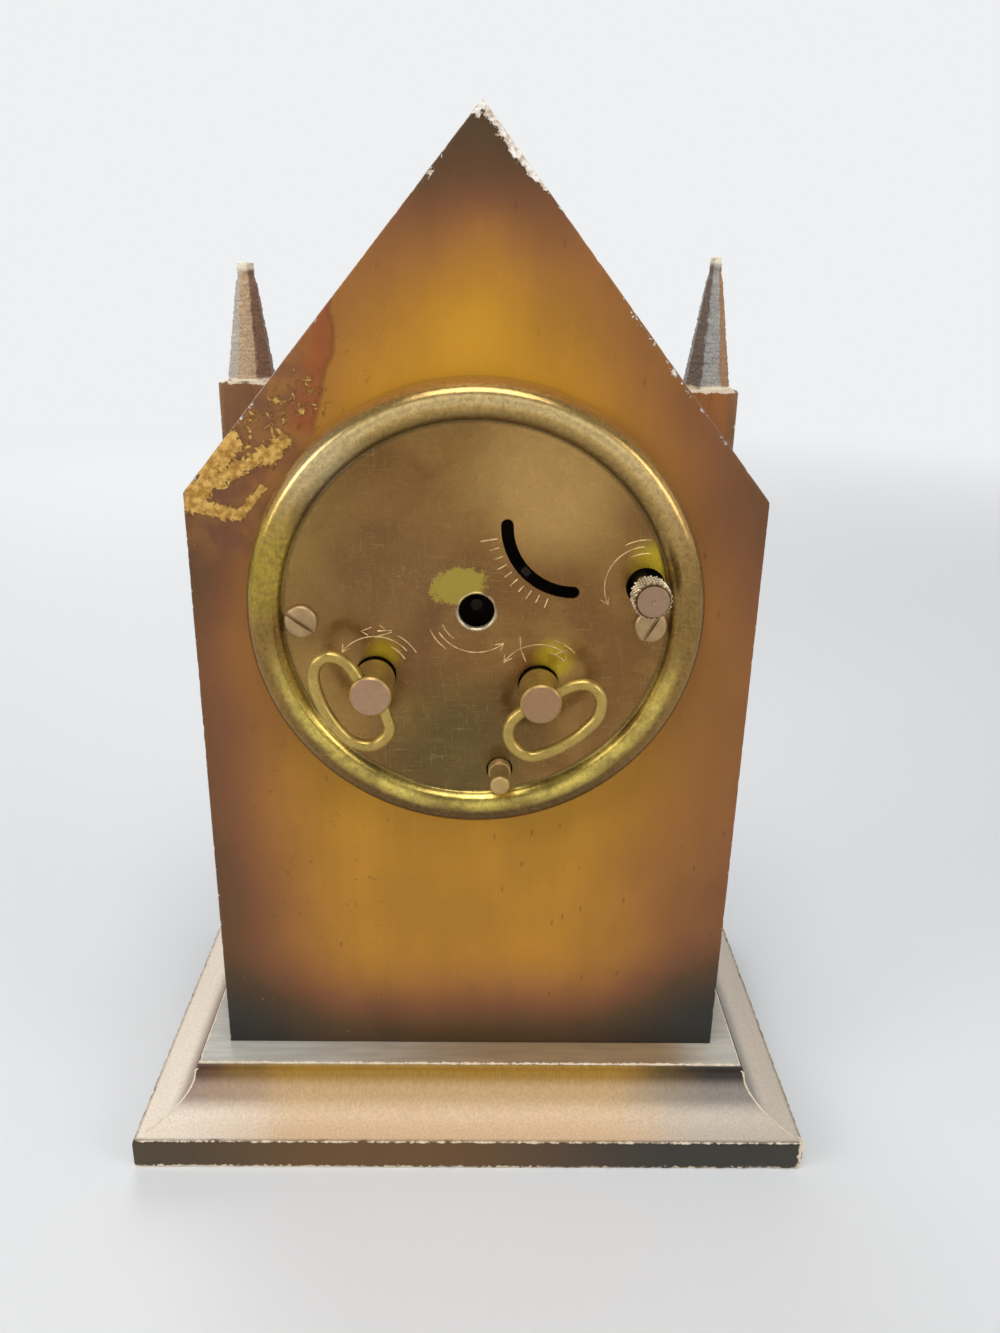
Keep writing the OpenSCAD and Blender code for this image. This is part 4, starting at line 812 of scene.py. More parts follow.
def model_spire(node, tip_w, seed):
    low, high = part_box(node)
    middle = (low + high) / 2
    # the model's octagon stands on a flat side, so its corner radius is a little more
    foot_r, tip_r = (high.x - low.x) / 2, tip_w / 2
    sides, per_side = 8, 4
    height = high.z - low.z
    count = 110
    rings = []
    for k in range(count + 1):
        t = k / count
        across = foot_r + (tip_r - foot_r) * t
        across *= 1 - 0.16 * max(0.0, 1 - abs(t - 0.88) / 0.06)
        z = low.z + height * t
        ring = []
        for i in range(sides * per_side):
            a = 2 * math.pi * i / (sides * per_side)
            off = (a + math.pi / sides) % (2 * math.pi / sides) - math.pi / sides
            flat_r = across / math.cos(off)
            place = Vector((math.cos(a) * 2.4 + seed, math.sin(a) * 2.4, z / mm * 0.9))
            arris = abs(off) / (math.pi / sides)
            saw = (z / mm * 1.3 + 1.2 * noise.noise(place * 0.4)) % 1.0
            rough_cut = max(0.0, noise.noise(place * 1.7)) * (0.06 + 0.22 * arris ** 3)
            cut = (0.03 + 0.09 * arris) * saw + rough_cut
            r = flat_r - min(cut * mm, 0.35 * flat_r)
            ring.append((middle.x + r * math.cos(a), middle.y + r * math.sin(a), z))
        rings.append(ring)
    crown = [(middle.x + (x - middle.x) * 0.6, middle.y + (y - middle.y) * 0.6, z) for x, y, z in rings[-1]]
    rings[-1] = [(x, y, z - 0.25 * mm) for x, y, z in rings[-1]]
    foot = [(middle.x + (x - middle.x) * 0.8, middle.y + (y - middle.y) * 0.8, z) for x, y, z in rings[0]]
    return skin([foot] + rings + [crown])[0]


# %% [markdown]
# The pillars carry brown lacquer, more orange on the side of the worn corner, and pale bare wood round their
# tops. The spires were only washed with thin paint: pinkish brown on top of pale wood, and almost bare at the
# tips. Each facet gets its own colour with painted light and shade in it: a silvery painted sheen where the
# light grazes the cut marks, and lighter or darker from facet to facet as the light falls on them.

# %% Paint the pillars and spires


def paint_pillar(name, node, orange):
    look = Finish(name)
    low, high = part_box(node)
    streaks = grain_of(look, 0.4, 9)
    brown = look.mix(look.cloud(7, detail=4), (112, 76, 50), (146, 108, 74))
    inner = look.fade(abs(look.x - (low.x + high.x) / 2), 4.6 * mm, 2.4 * mm)
    at_back = look.fade(look.y, high.y - 0.9 * mm, high.y - 0.3 * mm)
    brown = look.mix(at_back, (104, 68, 42), brown)
    colour = look.mix(inner * orange * at_back, brown, (160, 100, 50))
    colour = look.mix(look.fade(look.z, 100 * mm, 30 * mm, 0.0, 0.7), colour, (66, 52, 42))
    colour = look.tint(colour, look.vary(streaks, 0.82, 1.14))
    rim = look.fade(look.z, high.z - 1.1 * mm, high.z - 0.15 * mm, -0.16, 0.16)
    out_x = max(high.x, -low.x) - abs(look.x)
    arris = largest(abs(out_x), high.y - look.y)
    rim = largest(rim, look.fade(arris, 0.6 * mm, 0.2 * mm, -0.16, 0.03))
    chips = look.fade(look.cloud(1.6, detail=6, rough=0.7) + rim, 0.56, 0.6)
    pale = look.mix(look.cloud(0.6), (206, 182, 148), (236, 224, 204))
    look.relief(chips * -0.5 + streaks * 0.3, 0.2 * mm)
    gloss = look.vary(look.cloud(4), 0.38, 0.55)
    return look.finish(look.mix(chips, colour, pale), gloss, specular=0.25)


def paint_spire(name, node, tip_w, plus_facet_paint_and_light, seen_facet_paint_and_light, minus_facet_paint_and_light):
    """Thin paint on pale wood, with painted light and shade that differ from facet to facet."""
    look = Finish(name)
    low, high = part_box(node)
    middle_x, foot_r = (low.x + high.x) / 2, (high.x - low.x) / 2
    taper = (look.z - low.z) / (high.z - low.z)
    across = foot_r - taper * (foot_r - tip_w / 2)
    wash = look.cloud(1.6, detail=5, rough=0.65)
    u = (look.x - middle_x) / across + (wash - 0.5) * 0.5
    # each facet a colour by its side, with painted light and shade in it
    colour = look.mix(look.fade(u, -0.36, -0.5), seen_facet_paint_and_light, minus_facet_paint_and_light)
    colour = look.mix(look.fade(u, 0.36, 0.5), colour, plus_facet_paint_and_light)
    speckle = look.cloud(0.35, detail=5, rough=0.75, shift=(4, 4, 1))
    colour = look.tint(colour, look.vary(speckle, 0.62, 1.3))
    steps = look.cloud(0.5, grain=(5, 5, 0.8), shift=(2, 5, 9))
    colour = look.tint(colour, look.vary(steps, 0.88, 1.1))
    tip = look.fade(look.z + wash * (2 * mm), high.z - 0.9 * mm, high.z + 0.2 * mm)
    foot = look.fade(look.z - wash * (1.2 * mm), low.z + 0.1 * mm, low.z - 0.4 * mm)
    colour = look.mix(largest(tip, foot), colour, (238, 226, 200))
    look.relief(speckle + steps * 0.6, 0.12 * mm)
    return look.finish(colour, look.vary(wash, 0.36, 0.6), specular=0.4)


# per spire: side, tip width, seed, orange, and three facet colours with painted light and shade: +x facet,
# the facet seen, -x facet
SPIRES = (
    ("left", 1.8 * mm, 11.0, 0.9, (134, 118, 104), (164, 160, 154), (156, 118, 82)),
    ("right", 2.7 * mm, 57.0, 0.25, (184, 172, 156), (196, 164, 128), (150, 114, 90)),
)
for side, tip_w, seed, orange, *facet_paint_and_light in SPIRES:
    post, spire = f"{side}_pillar", f"{side}_spire"
    post_paint = paint_pillar(f"{side}_post_lacquer", post, orange)
    lay(f"{side}_post", model_pillar(post, seed), post_paint, "case", "dark_wood", post)
    spire_paint = paint_spire(f"{side}_steeple_paint", spire, tip_w, *facet_paint_and_light)
    lay(f"{side}_steeple", model_spire(spire, tip_w, seed), spire_paint,
        "case", "pale_wood", spire, crease=28)

# %% [markdown]
# ## Brass back cap
# The cap is one sheet of brass: a rolled rim, a small fillet and a recessed plate. It is turned on a lathe
# here, which means that a profile of radius and depth is spun round the axis. The holes and the curved slot
# are then cut with solid tools.

# %% Turn the cap


def spin(profile, place, steps=192):
    """A closed turned shape: profile points are (radius, distance behind the wood)."""
    mesh = bmesh.new()
    rows = []
    for k in range(steps):
        a = 2 * math.pi * k / steps
        across, up = math.cos(a), math.sin(a)
        rows.append([mesh.verts.new((place[0] + r * across, back_y + d, place[1] + r * up))
                     for r, d in profile])
    for k in range(steps):
        low, high = rows[k], rows[(k + 1) % steps]
        for i in range(len(profile)):
            j = (i + 1) % len(profile)
            mesh.faces.new((low[i], low[j], high[j], high[i]))
    bmesh.ops.remove_doubles(mesh, verts=mesh.verts, dist=same_place)
    bmesh.ops.recalc_face_normals(mesh, faces=mesh.faces)
    return mesh


def arc_points(centre, rx, ry, start, end, count, fullness=2.0):
    """Points on an ellipse's arc. A fullness over 2 swells it towards its box."""
    points = []
    for k in range(count + 1):
        a = math.radians(start + (end - start) * k / count)
        across, along = math.cos(a), math.sin(a)
        points.append((centre[0] + rx * math.copysign(abs(across) ** (2 / fullness), across),
                       centre[1] + ry * math.copysign(abs(along) ** (2 / fullness), along)))
    return points


bead_in, sheet, plate_d, crest_d = 31.5 * mm, 0.5 * mm, 4.5 * mm, 6.5 * mm
bead_mid, bead_half = (cap_r + bead_in) / 2, (cap_r - bead_in) / 2


def cap_profile():
    """The sheet's outer face from the wood over the rim to the middle, and its inner face back."""
    outer = arc_points((bead_mid, 0), bead_half, crest_d, 0, 90, 28, fullness=2.6)
    inner_wall = arc_points((bead_mid, plate_d), bead_half, crest_d - plate_d, 90, 172, 14)[1:]
    fillet = [(bead_in - 0.25 * mm, plate_d + 0.07 * mm), (bead_in - 0.6 * mm, plate_d + 0.02 * mm),
              (bead_in - 1.2 * mm, plate_d)]
    flat = [(r * mm, plate_d) for r in (24, 16, 8, 0.01)]
    back = [(0.01 * mm, plate_d - sheet), (bead_in - 0.4 * mm, plate_d - sheet)]
    back += arc_points((bead_mid, plate_d - sheet), bead_half - sheet, crest_d - plate_d, 180, 90, 10)
    back += arc_points((bead_mid, 0), bead_half - sheet, crest_d - sheet, 90, 0, 12, fullness=2.6)[1:]
    return outer + inner_wall + fillet + flat + back


cap_mesh = spin(cap_profile(), (0, cap_z), steps=256)
print("cap turned:", len(cap_mesh.faces), "faces")

# %% [markdown]
# The cutters are plain rods and a curved bar, joined into one object. A
# Boolean modifier takes them from the cap, and new_from_object keeps the result as
# a plain mesh. The small turned lip round the centre hole goes on as a ring.

# %% Cut the holes
ARBOR = (0.0, arbor_z)
TIME_KEY = (16.45 * mm, arbor_z - 11.3 * mm)
ALARM_KEY = (-10.41 * mm, arbor_z - 12.53 * mm)
SET_KNOB = (-27.09 * mm, arbor_z + 4.42 * mm)
STOP_PIN = (-4.24 * mm, arbor_z - 28.22 * mm)
BALANCE = (-15.5 * mm, arbor_z + 14.1 * mm)
HOLES = ((ARBOR, 2.85 * mm), (TIME_KEY, 3.35 * mm), (ALARM_KEY, 3.35 * mm), (SET_KNOB, 3.15 * mm),
         (STOP_PIN, 2.25 * mm))
slot_r, slot_w = 10.8 * mm, 2.0 * mm


def rod(mesh, place, radius, start, end, sides=64):
    """Adds a rod along Y to a mesh, from one distance behind the wood to another."""
    turn_up = Matrix.Rotation(math.pi / 2, 4, "X")
    spot = Matrix.Translation((place[0], back_y + (start + end) / 2, place[1]))
    bmesh.ops.create_cone(mesh, cap_ends=True, segments=sides, radius1=radius, radius2=radius,
                          depth=abs(end - start), matrix=spot @ turn_up)


def curved_bar(mesh, centre, radius, width, start, end, low_y, high_y):
    """Adds a bent bar with round ends, between two angles in the XZ plane."""
    path = [(radius, a) for a in (math.radians(start + (end - start) * k / 32) for k in range(33))]
    outer = [(r + width / 2, a) for r, a in path]
    inner = [(r - width / 2, a) for r, a in reversed(path)]
    outline_points = [(centre[0] + r * math.cos(a), centre[1] + r * math.sin(a)) for r, a in outer]
    for r, a, sign in ((radius, math.radians(end), 1), (radius, math.radians(start), -1)):
        tip = (centre[0] + r * math.cos(a), centre[1] + r * math.sin(a))
        angles = [a + sign * math.pi * k / 12 for k in range(1, 12)]
        cap_round = [(tip[0] + width / 2 * math.cos(b), tip[1] + width / 2 * math.sin(b)) for b in angles]
        if sign > 0:
            outline_points += cap_round
            outline_points += [(centre[0] + q * math.cos(b), centre[1] + q * math.sin(b)) for q, b in inner]
        else:
            outline_points += cap_round[::-1]
    lows = [mesh.verts.new((x, low_y, z)) for x, z in outline_points]
    highs = [mesh.verts.new((x, high_y, z)) for x, z in outline_points]
    for i in range(len(lows)):
        j = (i + 1) % len(lows)
        mesh.faces.new((lows[i], lows[j], highs[j], highs[i]))
    mesh.faces.new(lows[::-1])
    mesh.faces.new(highs)


cutters = bmesh.new()
for place, radius in HOLES:
    rod(cutters, place, radius, plate_d - 2 * mm, plate_d + 2 * mm)
curved_bar(cutters, BALANCE, slot_r, slot_w, -90, 0, back_y + plate_d - 2 * mm, back_y + plate_d + 2 * mm)
cap_mesh = carve(cap_mesh, cutters)
print("cap cut:", len(cap_mesh.faces), "faces")

# %% [markdown]
# The sheet was bright once. Air and hands have turned the plate brown, and a yellow patch shows where
# something rubbed. Broad golden, olive and purplish-brown clouds on the plate are painted reflections over
# that tarnish, and small yellow spots beside the keys and the knob are painted glints. The rim has a speckled
# skin, with painted highlights on its crest and lower inner wall and painted shade on its underside, its
# upper inner wall and the crease at the plate. Places on the plate are real places, in millimetres across and
# above the table.

# %% Paint the cap
# painted reflections on the plate: golden, olive and purplish-brown clouds, then three small yellow glints
# beside the alarm key, the knob and the time key
# across, up, radius, soft edge, strength, colour
PLATE_REFLECTIONS_AND_GLINTS = (
    (-11.5, 127, 5, 12, 0.85, (196, 154, 88)), (3, 80, 5, 14, 0.75, (92, 78, 40)),
    (13, 108, 6, 14, 0.45, (110, 76, 50)), (-12.8, 96.8, 1.2, 3.4, 0.8, (204, 180, 40)),
    (-28.0, 113.6, 1.0, 3.8, 0.8, (204, 180, 40)), (15.2, 97.6, 0.6, 3.2, 0.8, (204, 180, 40)))


def paint_plate(look, patch):
    """The recessed plate: brown tarnish, painted reflections and glints, a rubbed yellow patch, specks and
    crossing scratches.
    """
    wander = look.cloud(14, detail=4, warp=0.5)
    plate = look.mix(look.fade(wander, 0.35, 0.65), (128, 90, 46), (150, 112, 58))
    plate = look.mix(look.fade(look.x, 14 * mm, 30 * mm) * 0.5, plate, (160, 128, 66))
    # painted reflections and glints over the tarnish
    for px, pz, core, soft, strength, tone in PLATE_REFLECTIONS_AND_GLINTS:
        plate = look.mix(look.near(px, pz, core, soft) * strength, plate, tone)
    plate = look.mix(patch * 0.85, plate, (176, 154, 62))
    # dark specks in the golden cloud and small tan ones beside the patch
    specks = look.fade(look.cells(1.3), 0.13, 0.05)
    speck_zone = look.near(-12, 128, 5, 9) * look.fade(wander, 0.4, 0.6, 0.2, 0.8)
    plate = look.mix(specks * speck_zone, plate, (116, 82, 44))
    crumbs = look.fade(look.cloud(0.9, detail=5, rough=0.75, shift=(6, 0, 2)), 0.6, 0.64)
    plate = look.mix(crumbs * look.near(11.4, 109.8, 1.2, 2.2), plate, (198, 164, 104))
    for shift, grain in (((0, 0, 0), (6, 6, 0.5)), ((3, 0, 5), (0.5, 6, 6))):
        lines = look.fade(look.cloud(0.5, grain=grain, shift=shift), 0.66, 0.72)
        plate = look.mix(lines * look.near(4, 84, 4, 8) * 0.5, plate, (170, 140, 84))
    return plate


def paint_rim(look, radius, height, fine):
    """The rolled rim: a speckled skin, yellower flecks at one side and darker along the wood, with painted
    light and shade: paler on top, darker at the sides and bottom, painted highlights on the crest and the
    lower inner wall, painted shade on the upper inner wall.
    """
    # paler on the upper half and darker at the sides and bottom: painted light and shade
    rim = look.mix(look.fade(height, -0.1, 0.8), (138, 106, 54), (190, 154, 88))
    rim = look.mix(look.fade(height, -0.35, -0.95), rim, (98, 74, 38))
    # painted shade on the upper inner wall, which faces down
    inner_wall_shade = look.fade(radius, bead_mid - 0.4 * mm, bead_in + 0.3 * mm, 0.0, 0.8)
    rim = look.mix(inner_wall_shade * look.fade(height, -0.1, 0.5), rim, (104, 84, 44))
    # a painted highlight along the crest of the upper half
    crest_highlight = look.fade(radius, bead_mid - 1.2 * mm, bead_mid - 0.1 * mm) * look.fade(
        radius, bead_mid + 1.5 * mm, bead_mid + 0.5 * mm)
    rim = look.mix(crest_highlight * look.fade(height, 0.25, 0.75, 0.0, 0.6), rim, (236, 208, 148))
    # a streaky painted highlight on the lower inner wall
    inner = look.fade(radius, bead_mid + 0.3 * mm, bead_mid - 1.3 * mm) * look.fade(height, -0.04, -0.45)
    streaky = look.fade(look.cloud(7, shift=(9, 1, 1)), 0.36, 0.58, 0.35, 1.0)
    rim = look.mix(inner * streaky, rim, (222, 196, 98))
    flecked = look.fade(look.cloud(0.8, detail=6, rough=0.75, shift=(2, 2, 9)), 0.4, 0.56)
    side_patch = look.near(36, 113, 4, 9) * look.fade(flecked, 0.0, 1.0, 0.25, 0.7)
    rim = look.mix(side_patch, rim, (188, 164, 52))
    # a pale painted sheen on the upper rim
    rim = look.mix(look.near(25, 130, 2, 8) * 0.4, rim, (206, 190, 146))
    rim = look.tint(rim, look.vary(fine, 0.7, 1.2))
    rim = look.mix(look.fade(look.cells(0.7), 0.2, 0.08) * 0.5, rim, (96, 74, 42))
    return look.mix(look.fade(look.y, back_y + 1.6 * mm, back_y + 0.1 * mm, 0.0, 0.8), rim, (78, 62, 34))


def paint_cap():
    look = Finish("aged_brass", metal=0.72)
    up = look.z - cap_z
    radius = length(look.x, up)
    fine = look.cloud(0.7, detail=6, rough=0.75)
    # the rubbed yellow patch by the middle hole, a leaning oval with a ragged edge
    dx, dz = look.x - 3.0 * mm, look.z - 109.2 * mm
    oval = length((dx - dz * 0.45) / (4.8 * mm), (dz + dx * 0.35) / (3.0 * mm))
    ragged = (look.cloud(1.1, detail=8, rough=0.78) - 0.5) * 1.5
    patch = look.fade(oval + ragged, 1.12, 0.9)
    plate = look.tint(paint_plate(look, patch), look.vary(fine, 0.96, 1.04))
    on_rim = look.fade(radius, bead_in - 0.5 * mm, bead_in - 0.1 * mm)
    colour = look.mix(on_rim, plate, paint_rim(look, radius, up / cap_r, fine))
    # painted shade in the crease where the rim's inner wall meets the plate
    crease_shade = look.fade(radius, bead_in - 0.9 * mm, bead_in - 0.3 * mm) * look.fade(
        radius, bead_in + 0.45 * mm, bead_in - 0.1 * mm)
    colour = look.mix(crease_shade * 0.55, colour, (74, 58, 28))
    skin_grain = look.cloud(0.35, detail=6, rough=0.7) * look.fade(on_rim, 0.0, 1.0, 0.12, 0.7)
    look.relief(skin_grain + look.cloud(3.0, detail=4, shift=(8, 1, 3)), 0.045 * mm)
    # hair scratches all over, and the bright turned lip of the middle hole, painted as a highlight that is
    # strongest on its lower side
    for shift, grain in (((1, 2, 3), (9, 9, 0.35)), ((5, 3, 1), (0.35, 9, 9))):
        hairs = look.fade(look.cloud(0.45, detail=2, grain=grain, shift=shift, warp=0.3), 0.64, 0.7)
        colour = look.mix(hairs * 0.22, colour, (190, 162, 104))
    above_arbor = look.z - ARBOR[1]
    lip_highlight = look.fade(length(look.x, above_arbor), 3.5 * mm, 3.3 * mm)
    lip_highlight = lip_highlight * look.fade(above_arbor, 1 * mm, -2 * mm, 0.25, 1.0)
    colour = look.mix(lip_highlight, colour, (214, 200, 164))
    polish = look.vary(look.cloud(2.6, detail=5), 0.2, 0.32)
    return look.finish(colour, polish * (1.0 - on_rim) + patch * 0.15)


lip_r, lip_w, lip_h = 3.1 * mm, 0.25 * mm, 0.4 * mm
lip_profile = arc_points((lip_r, plate_d), lip_w, lip_h, 0, 180, 12)
lip_profile += [(lip_r + side * lip_w, plate_d - 0.1 * mm) for side in (-1, 1)]
absorb(cap_mesh, as_data("lip", spin(lip_profile, ARBOR, steps=96)))
lay("brass_cap", cap_mesh, paint_cap(), "case", "dull_brass", "back_cap")

# %% [markdown]
# ## Engraved marks
# Small arrows show which way each key and knob turns, and a row of ticks stands beside the regulator's slot.
# A scriber lifted bright brass along each line, and the lines are painted paler still, as a painted highlight
# where they catch the light. Every line is a curve here, and Geometry Nodes give all of them the same narrow
# round body, half sunk in the plate.

# %% Engrave the plate


def strip(points):
    """A line through points given in millimetres from the arbor's axis line and the table."""
    return [(x * mm, plate_y, z * mm) for x, z in points]


def bow_line(place, radius, start, end, count=24):
    """An arc round a place, radius in millimetres, angles in degrees."""
    return [(place[0] + radius * math.cos(math.radians(start + (end - start) * k / count)),
             place[1] + radius * math.sin(math.radians(start + (end - start) * k / count)))
            for k in range(count + 1)]


def arrow(place, radius, tail, tip):
    """An arc arrow round a place: an arc, two barbs at the tip and two feathers at the tail."""
    feather, head, barb_angle = 1.1, 1.5, math.radians(28)
    sign = 1 if tip > tail else -1
    lines = [bow_line(place, radius, tail, tip)]
    end = lines[0][-1]
    back = math.radians(tip + sign * 90) + math.pi
    for a in (back - barb_angle, back + barb_angle):
        lines.append([end, (end[0] + head * math.cos(a), end[1] + head * math.sin(a))])
    reach = sign * math.degrees(2.6 / radius)
    for step in (-feather, feather):
        lines.append(bow_line(place, radius + step, tail - reach * 0.4, tail + reach, 8))
    return lines


mark_lines = []
for place, *turn_of in ((ARBOR, 7.1, -32, -130), (SET_KNOB, 6.6, 84, -28), (TIME_KEY, 6.7, 140, 36),
                        (ALARM_KEY, 6.9, 128, 33)):
    mark_lines += arrow((place[0] / mm, place[1] / mm), *turn_of)
tick_count, tick_step, tick_from, tick_to = 10, 6.8, 12.5, (15.2, 14.15, 13.9)
for k in range(tick_count):
    a = math.radians(-10 - tick_step * k)
    reach = tick_to[0] if k == 0 else tick_to[1 if k % 2 else 2]
    mark_lines.append([(BALANCE[0] / mm + r * math.cos(a), BALANCE[1] / mm + r * math.sin(a))
                       for r in (tick_from, reach)])
# the scriber slipped over the two key arrows and left a few short strokes
mark_lines += [
    [(15.7, 102.5), (14.6, 101.6), (16.0, 101.5)], [(16.0, 101.4), (13.6, 101.6)],
    [(16.4, 100.4), (13.7, 101.3)], [(17.0, 102.1), (18.7, 101.4), (17.6, 100.7)],
    [(-7.2, 100.8), (-7.3, 98.7), (-8.2, 96.5)], [(-13.0, 97.8), (-14.8, 98.6), (-14.8, 96.7)]]


def start_tree(name, **sockets):
    """A node tree that takes a geometry, some named values and a finish, and its given values."""
    tree = bpy.data.node_groups.new(name, "GeometryNodeTree")
    for key, kind in (("Geometry", "Geometry"), *sockets.items(), ("Finish", "Material")):
        tree.interface.new_socket(key.replace("_", " "), in_out="INPUT", socket_type="NodeSocket" + kind)
    tree.interface.new_socket("Geometry", in_out="OUTPUT", socket_type="NodeSocketGeometry")
    return tree, tree.nodes.new("NodeGroupInput").outputs


def end_tree(tree, given, shape):
    """Ends a tree: the shape is made real and dressed in the finish."""
    real = tree.nodes.new("GeometryNodeRealizeInstances")
    dress = tree.nodes.new("GeometryNodeSetMaterial")
    result = tree.nodes.new("NodeGroupOutput")
    for source, target in ((shape, real.inputs[0]), (real.outputs[0], dress.inputs["Geometry"]),
                           (given["Finish"], dress.inputs["Material"]),
                           (dress.outputs[0], result.inputs[0])):
        tree.links.new(source, target)
    return tree


def tube_tree():
    """A node tree that gives every curve a round body."""
    tree, given = start_tree("scribed_line", Half_width="Float", Sides="Int")
    ring = tree.nodes.new("GeometryNodeCurvePrimitiveCircle")
    body = tree.nodes.new("GeometryNodeCurveToMesh")
    body.inputs["Fill Caps"].default_value = True
    tree.links.new(given["Half width"], ring.inputs["Radius"])
    tree.links.new(given["Sides"], ring.inputs["Resolution"])
    tree.links.new(given["Geometry"], body.inputs["Curve"])
    tree.links.new(ring.outputs["Curve"], body.inputs["Profile Curve"])
    return end_tree(tree, given, body.outputs[0])


def run_tree(source, tree, **inputs):
    """Runs a node tree on an object and gives back a bmesh. The source is removed."""
    live = source.modifiers.new("tree", "NODES")
    live.node_group = tree
    for socket in tree.interface.items_tree:
        key = socket.name.replace(" ", "_")
        if socket.in_out == "INPUT" and key in inputs:
            live[socket.identifier] = inputs[key]
    return absorb(bmesh.new(), plain_mesh(source))


def curves_of(name, lines):
    """One curve object with a straight-segment spline per line of points."""
    curve = bpy.data.curves.new(name, "CURVE")
    curve.dimensions = "3D"
    for line in lines:
        spline = curve.splines.new("POLY")
        spline.points.add(len(line) - 1)
        for point, place in zip(spline.points, line):
            point.co = (*place, 1)
    return new_object(name, curve)


scribed = Finish("scribed_brass", rough=0.4, metal=0.6)
# bright cut brass, painted paler as a highlight
cut_and_glint = scribed.fade(scribed.cloud(1.2, detail=4), 0.35, 0.65)
scribed_paint = scribed.finish(scribed.mix(cut_and_glint, (182, 146, 92), (232, 204, 150)))
tube = tube_tree()
marks = curves_of("marks", [strip(line) for line in mark_lines])
marks_mesh = run_tree(marks, tube, Half_width=0.1 * mm, Sides=6, Finish=scribed_paint)
lay("scribed_marks", marks_mesh, scribed_paint, "case", "dull_brass")

# %% [markdown]
# ## Screws, knob and stop pin
# The two cap screws have domed heads with a slot across. Each is turned from
# a profile, and a thin block cuts its slot at its own angle. The brass made
# here, cloudy with dark specks, is shared by all the small turned pieces.

# %% Turn the screws


def paint_small_brass(name, face_y=None, face=(168, 130, 100), side=(170, 140, 74), rough=(0.34, 0.5)):
    """Brass for a small turned piece, with a duller pinkish face at its outer end."""
    look = Finish(name, metal=0.72)
    colour = look.tint(side, look.vary(look.cloud(1.8, detail=5), 0.86, 1.1))
    if face_y is not None:
        flat = look.fade(look.y, face_y - 0.14 * mm, face_y - 0.04 * mm)
        ends = look.tint(face, look.vary(look.cloud(0.9, detail=5, rough=0.7), 0.9, 1.08))
        colour = look.mix(flat, colour, ends)
    colour = look.mix(look.fade(look.cells(0.7), 0.14, 0.06) * 0.35, colour, (96, 70, 42))
    grain = look.cloud(0.35, detail=6, rough=0.7)
    dings = look.cloud(3.0, detail=4, shift=(8, 1, 3))
    look.relief(grain * 0.6 + dings * 0.25, 0.03 * mm)
    return look.finish(colour, look.vary(look.cloud(1.1, detail=4), *rough))


screw_places = ((28.33 * mm, 103 * mm, 35), (-28.33 * mm, 103 * mm, 120))
head_r, head_h, slot_half, shank_r, shank_l = 2.72 * mm, 1.3 * mm, 0.33 * mm, 1.1 * mm, 4.0 * mm
axis_r = 0.001 * mm
dome = arc_points((head_r - 0.9 * mm, plate_d + 0.45 * mm), 0.9 * mm, 0.6 * mm, 0, 78, 8)
crown = [((head_r - 0.1 * mm) * t, plate_d + 1.05 * mm + 0.25 * mm * (1 - t ** 2))
         for t in (1 / 2, 1 / 3, 1 / 6)]
screw_profile = [(head_r, plate_d)] + dome + crown
screw_profile += [(axis_r, plate_d + head_h), (axis_r, plate_d - shank_l),
                  (shank_r, plate_d - shank_l), (shank_r, plate_d)]
screws = bmesh.new()
for px, pz, slot_turn in screw_places:
    blade = bmesh.new()
    bmesh.ops.create_cube(blade, size=1.0)
    size = Matrix.Diagonal((2.4 * head_r, 1.6 * mm, 2 * slot_half, 1))
    spot = Matrix.Translation((px, back_y + plate_d + head_h, pz))
    angle = Matrix.Rotation(-math.radians(slot_turn), 4, "Y")
    bmesh.ops.transform(blade, matrix=spot @ angle @ size, verts=blade.verts)
    absorb(screws, as_data("screw", carve(spin(screw_profile, (px, pz), steps=64), blade)))
screw_finish = paint_small_brass("screw_brass", side=(176, 146, 104))
lay("cap_screw_pair", screws, screw_finish, "case", "key_metal", "cap_screws")

# %% [markdown]
# ## Key bows
# Each key carries a bow of bent wire, and the two were bent by hand: no two
# corners are alike. The wire's middle line is given in millimetres from the
# key's axis, and a spline through those places makes it smooth. Both
# ends run straight into the barrel, along the line on which the bow folds.

# %% Bend the bows
TIME_BOW = ((2.9, 4.15), (4.0, 5.3), (5.4, 6.05), (6.8, 6.1), (8.1, 5.2), (8.75, 3.7), (8.8, 2.0), (8.4, 0.0),
            (7.7, -2.1), (6.6, -4.2), (5.3, -6.2), (3.8, -7.8), (2.1, -8.7), (0.4, -8.9), (-1.2, -8.3),
            (-2.5, -7.0), (-2.85, -5.6), (-2.55, -4.3))
ALARM_BOW = ((-4.2, 2.45), (-5.8, 2.95), (-7.4, 2.95), (-8.7, 2.1), (-9.5, 0.7), (-9.6, -0.9), (-9.1, -2.7),
             (-7.9, -4.2), (-6.4, -5.7), (-4.6, -7.1), (-2.6, -8.3), (-0.5, -9.2), (1.1, -9.55), (2.6, -9.15),
             (4.1, -8.0), (4.95, -6.4), (5.0, -4.6), (4.35, -3.1))
wire_r = 1.0 * mm


def smooth_line(points, steps=6):
    """More points on a spline that goes through the given ones."""
    line = []
    for k in range(len(points) - 1):
        a, b, c, d = (Vector(points[max(0, min(len(points) - 1, k + i))]) for i in (-1, 0, 1, 2))
        for t in (i / steps for i in range(steps)):
            line.append(0.5 * (2 * b + (c - a) * t + (2 * a - 5 * b + 4 * c - d) * t ** 2
                               + (3 * b - a - 3 * c + d) * t ** 3))
    return line + [Vector(points[-1])]


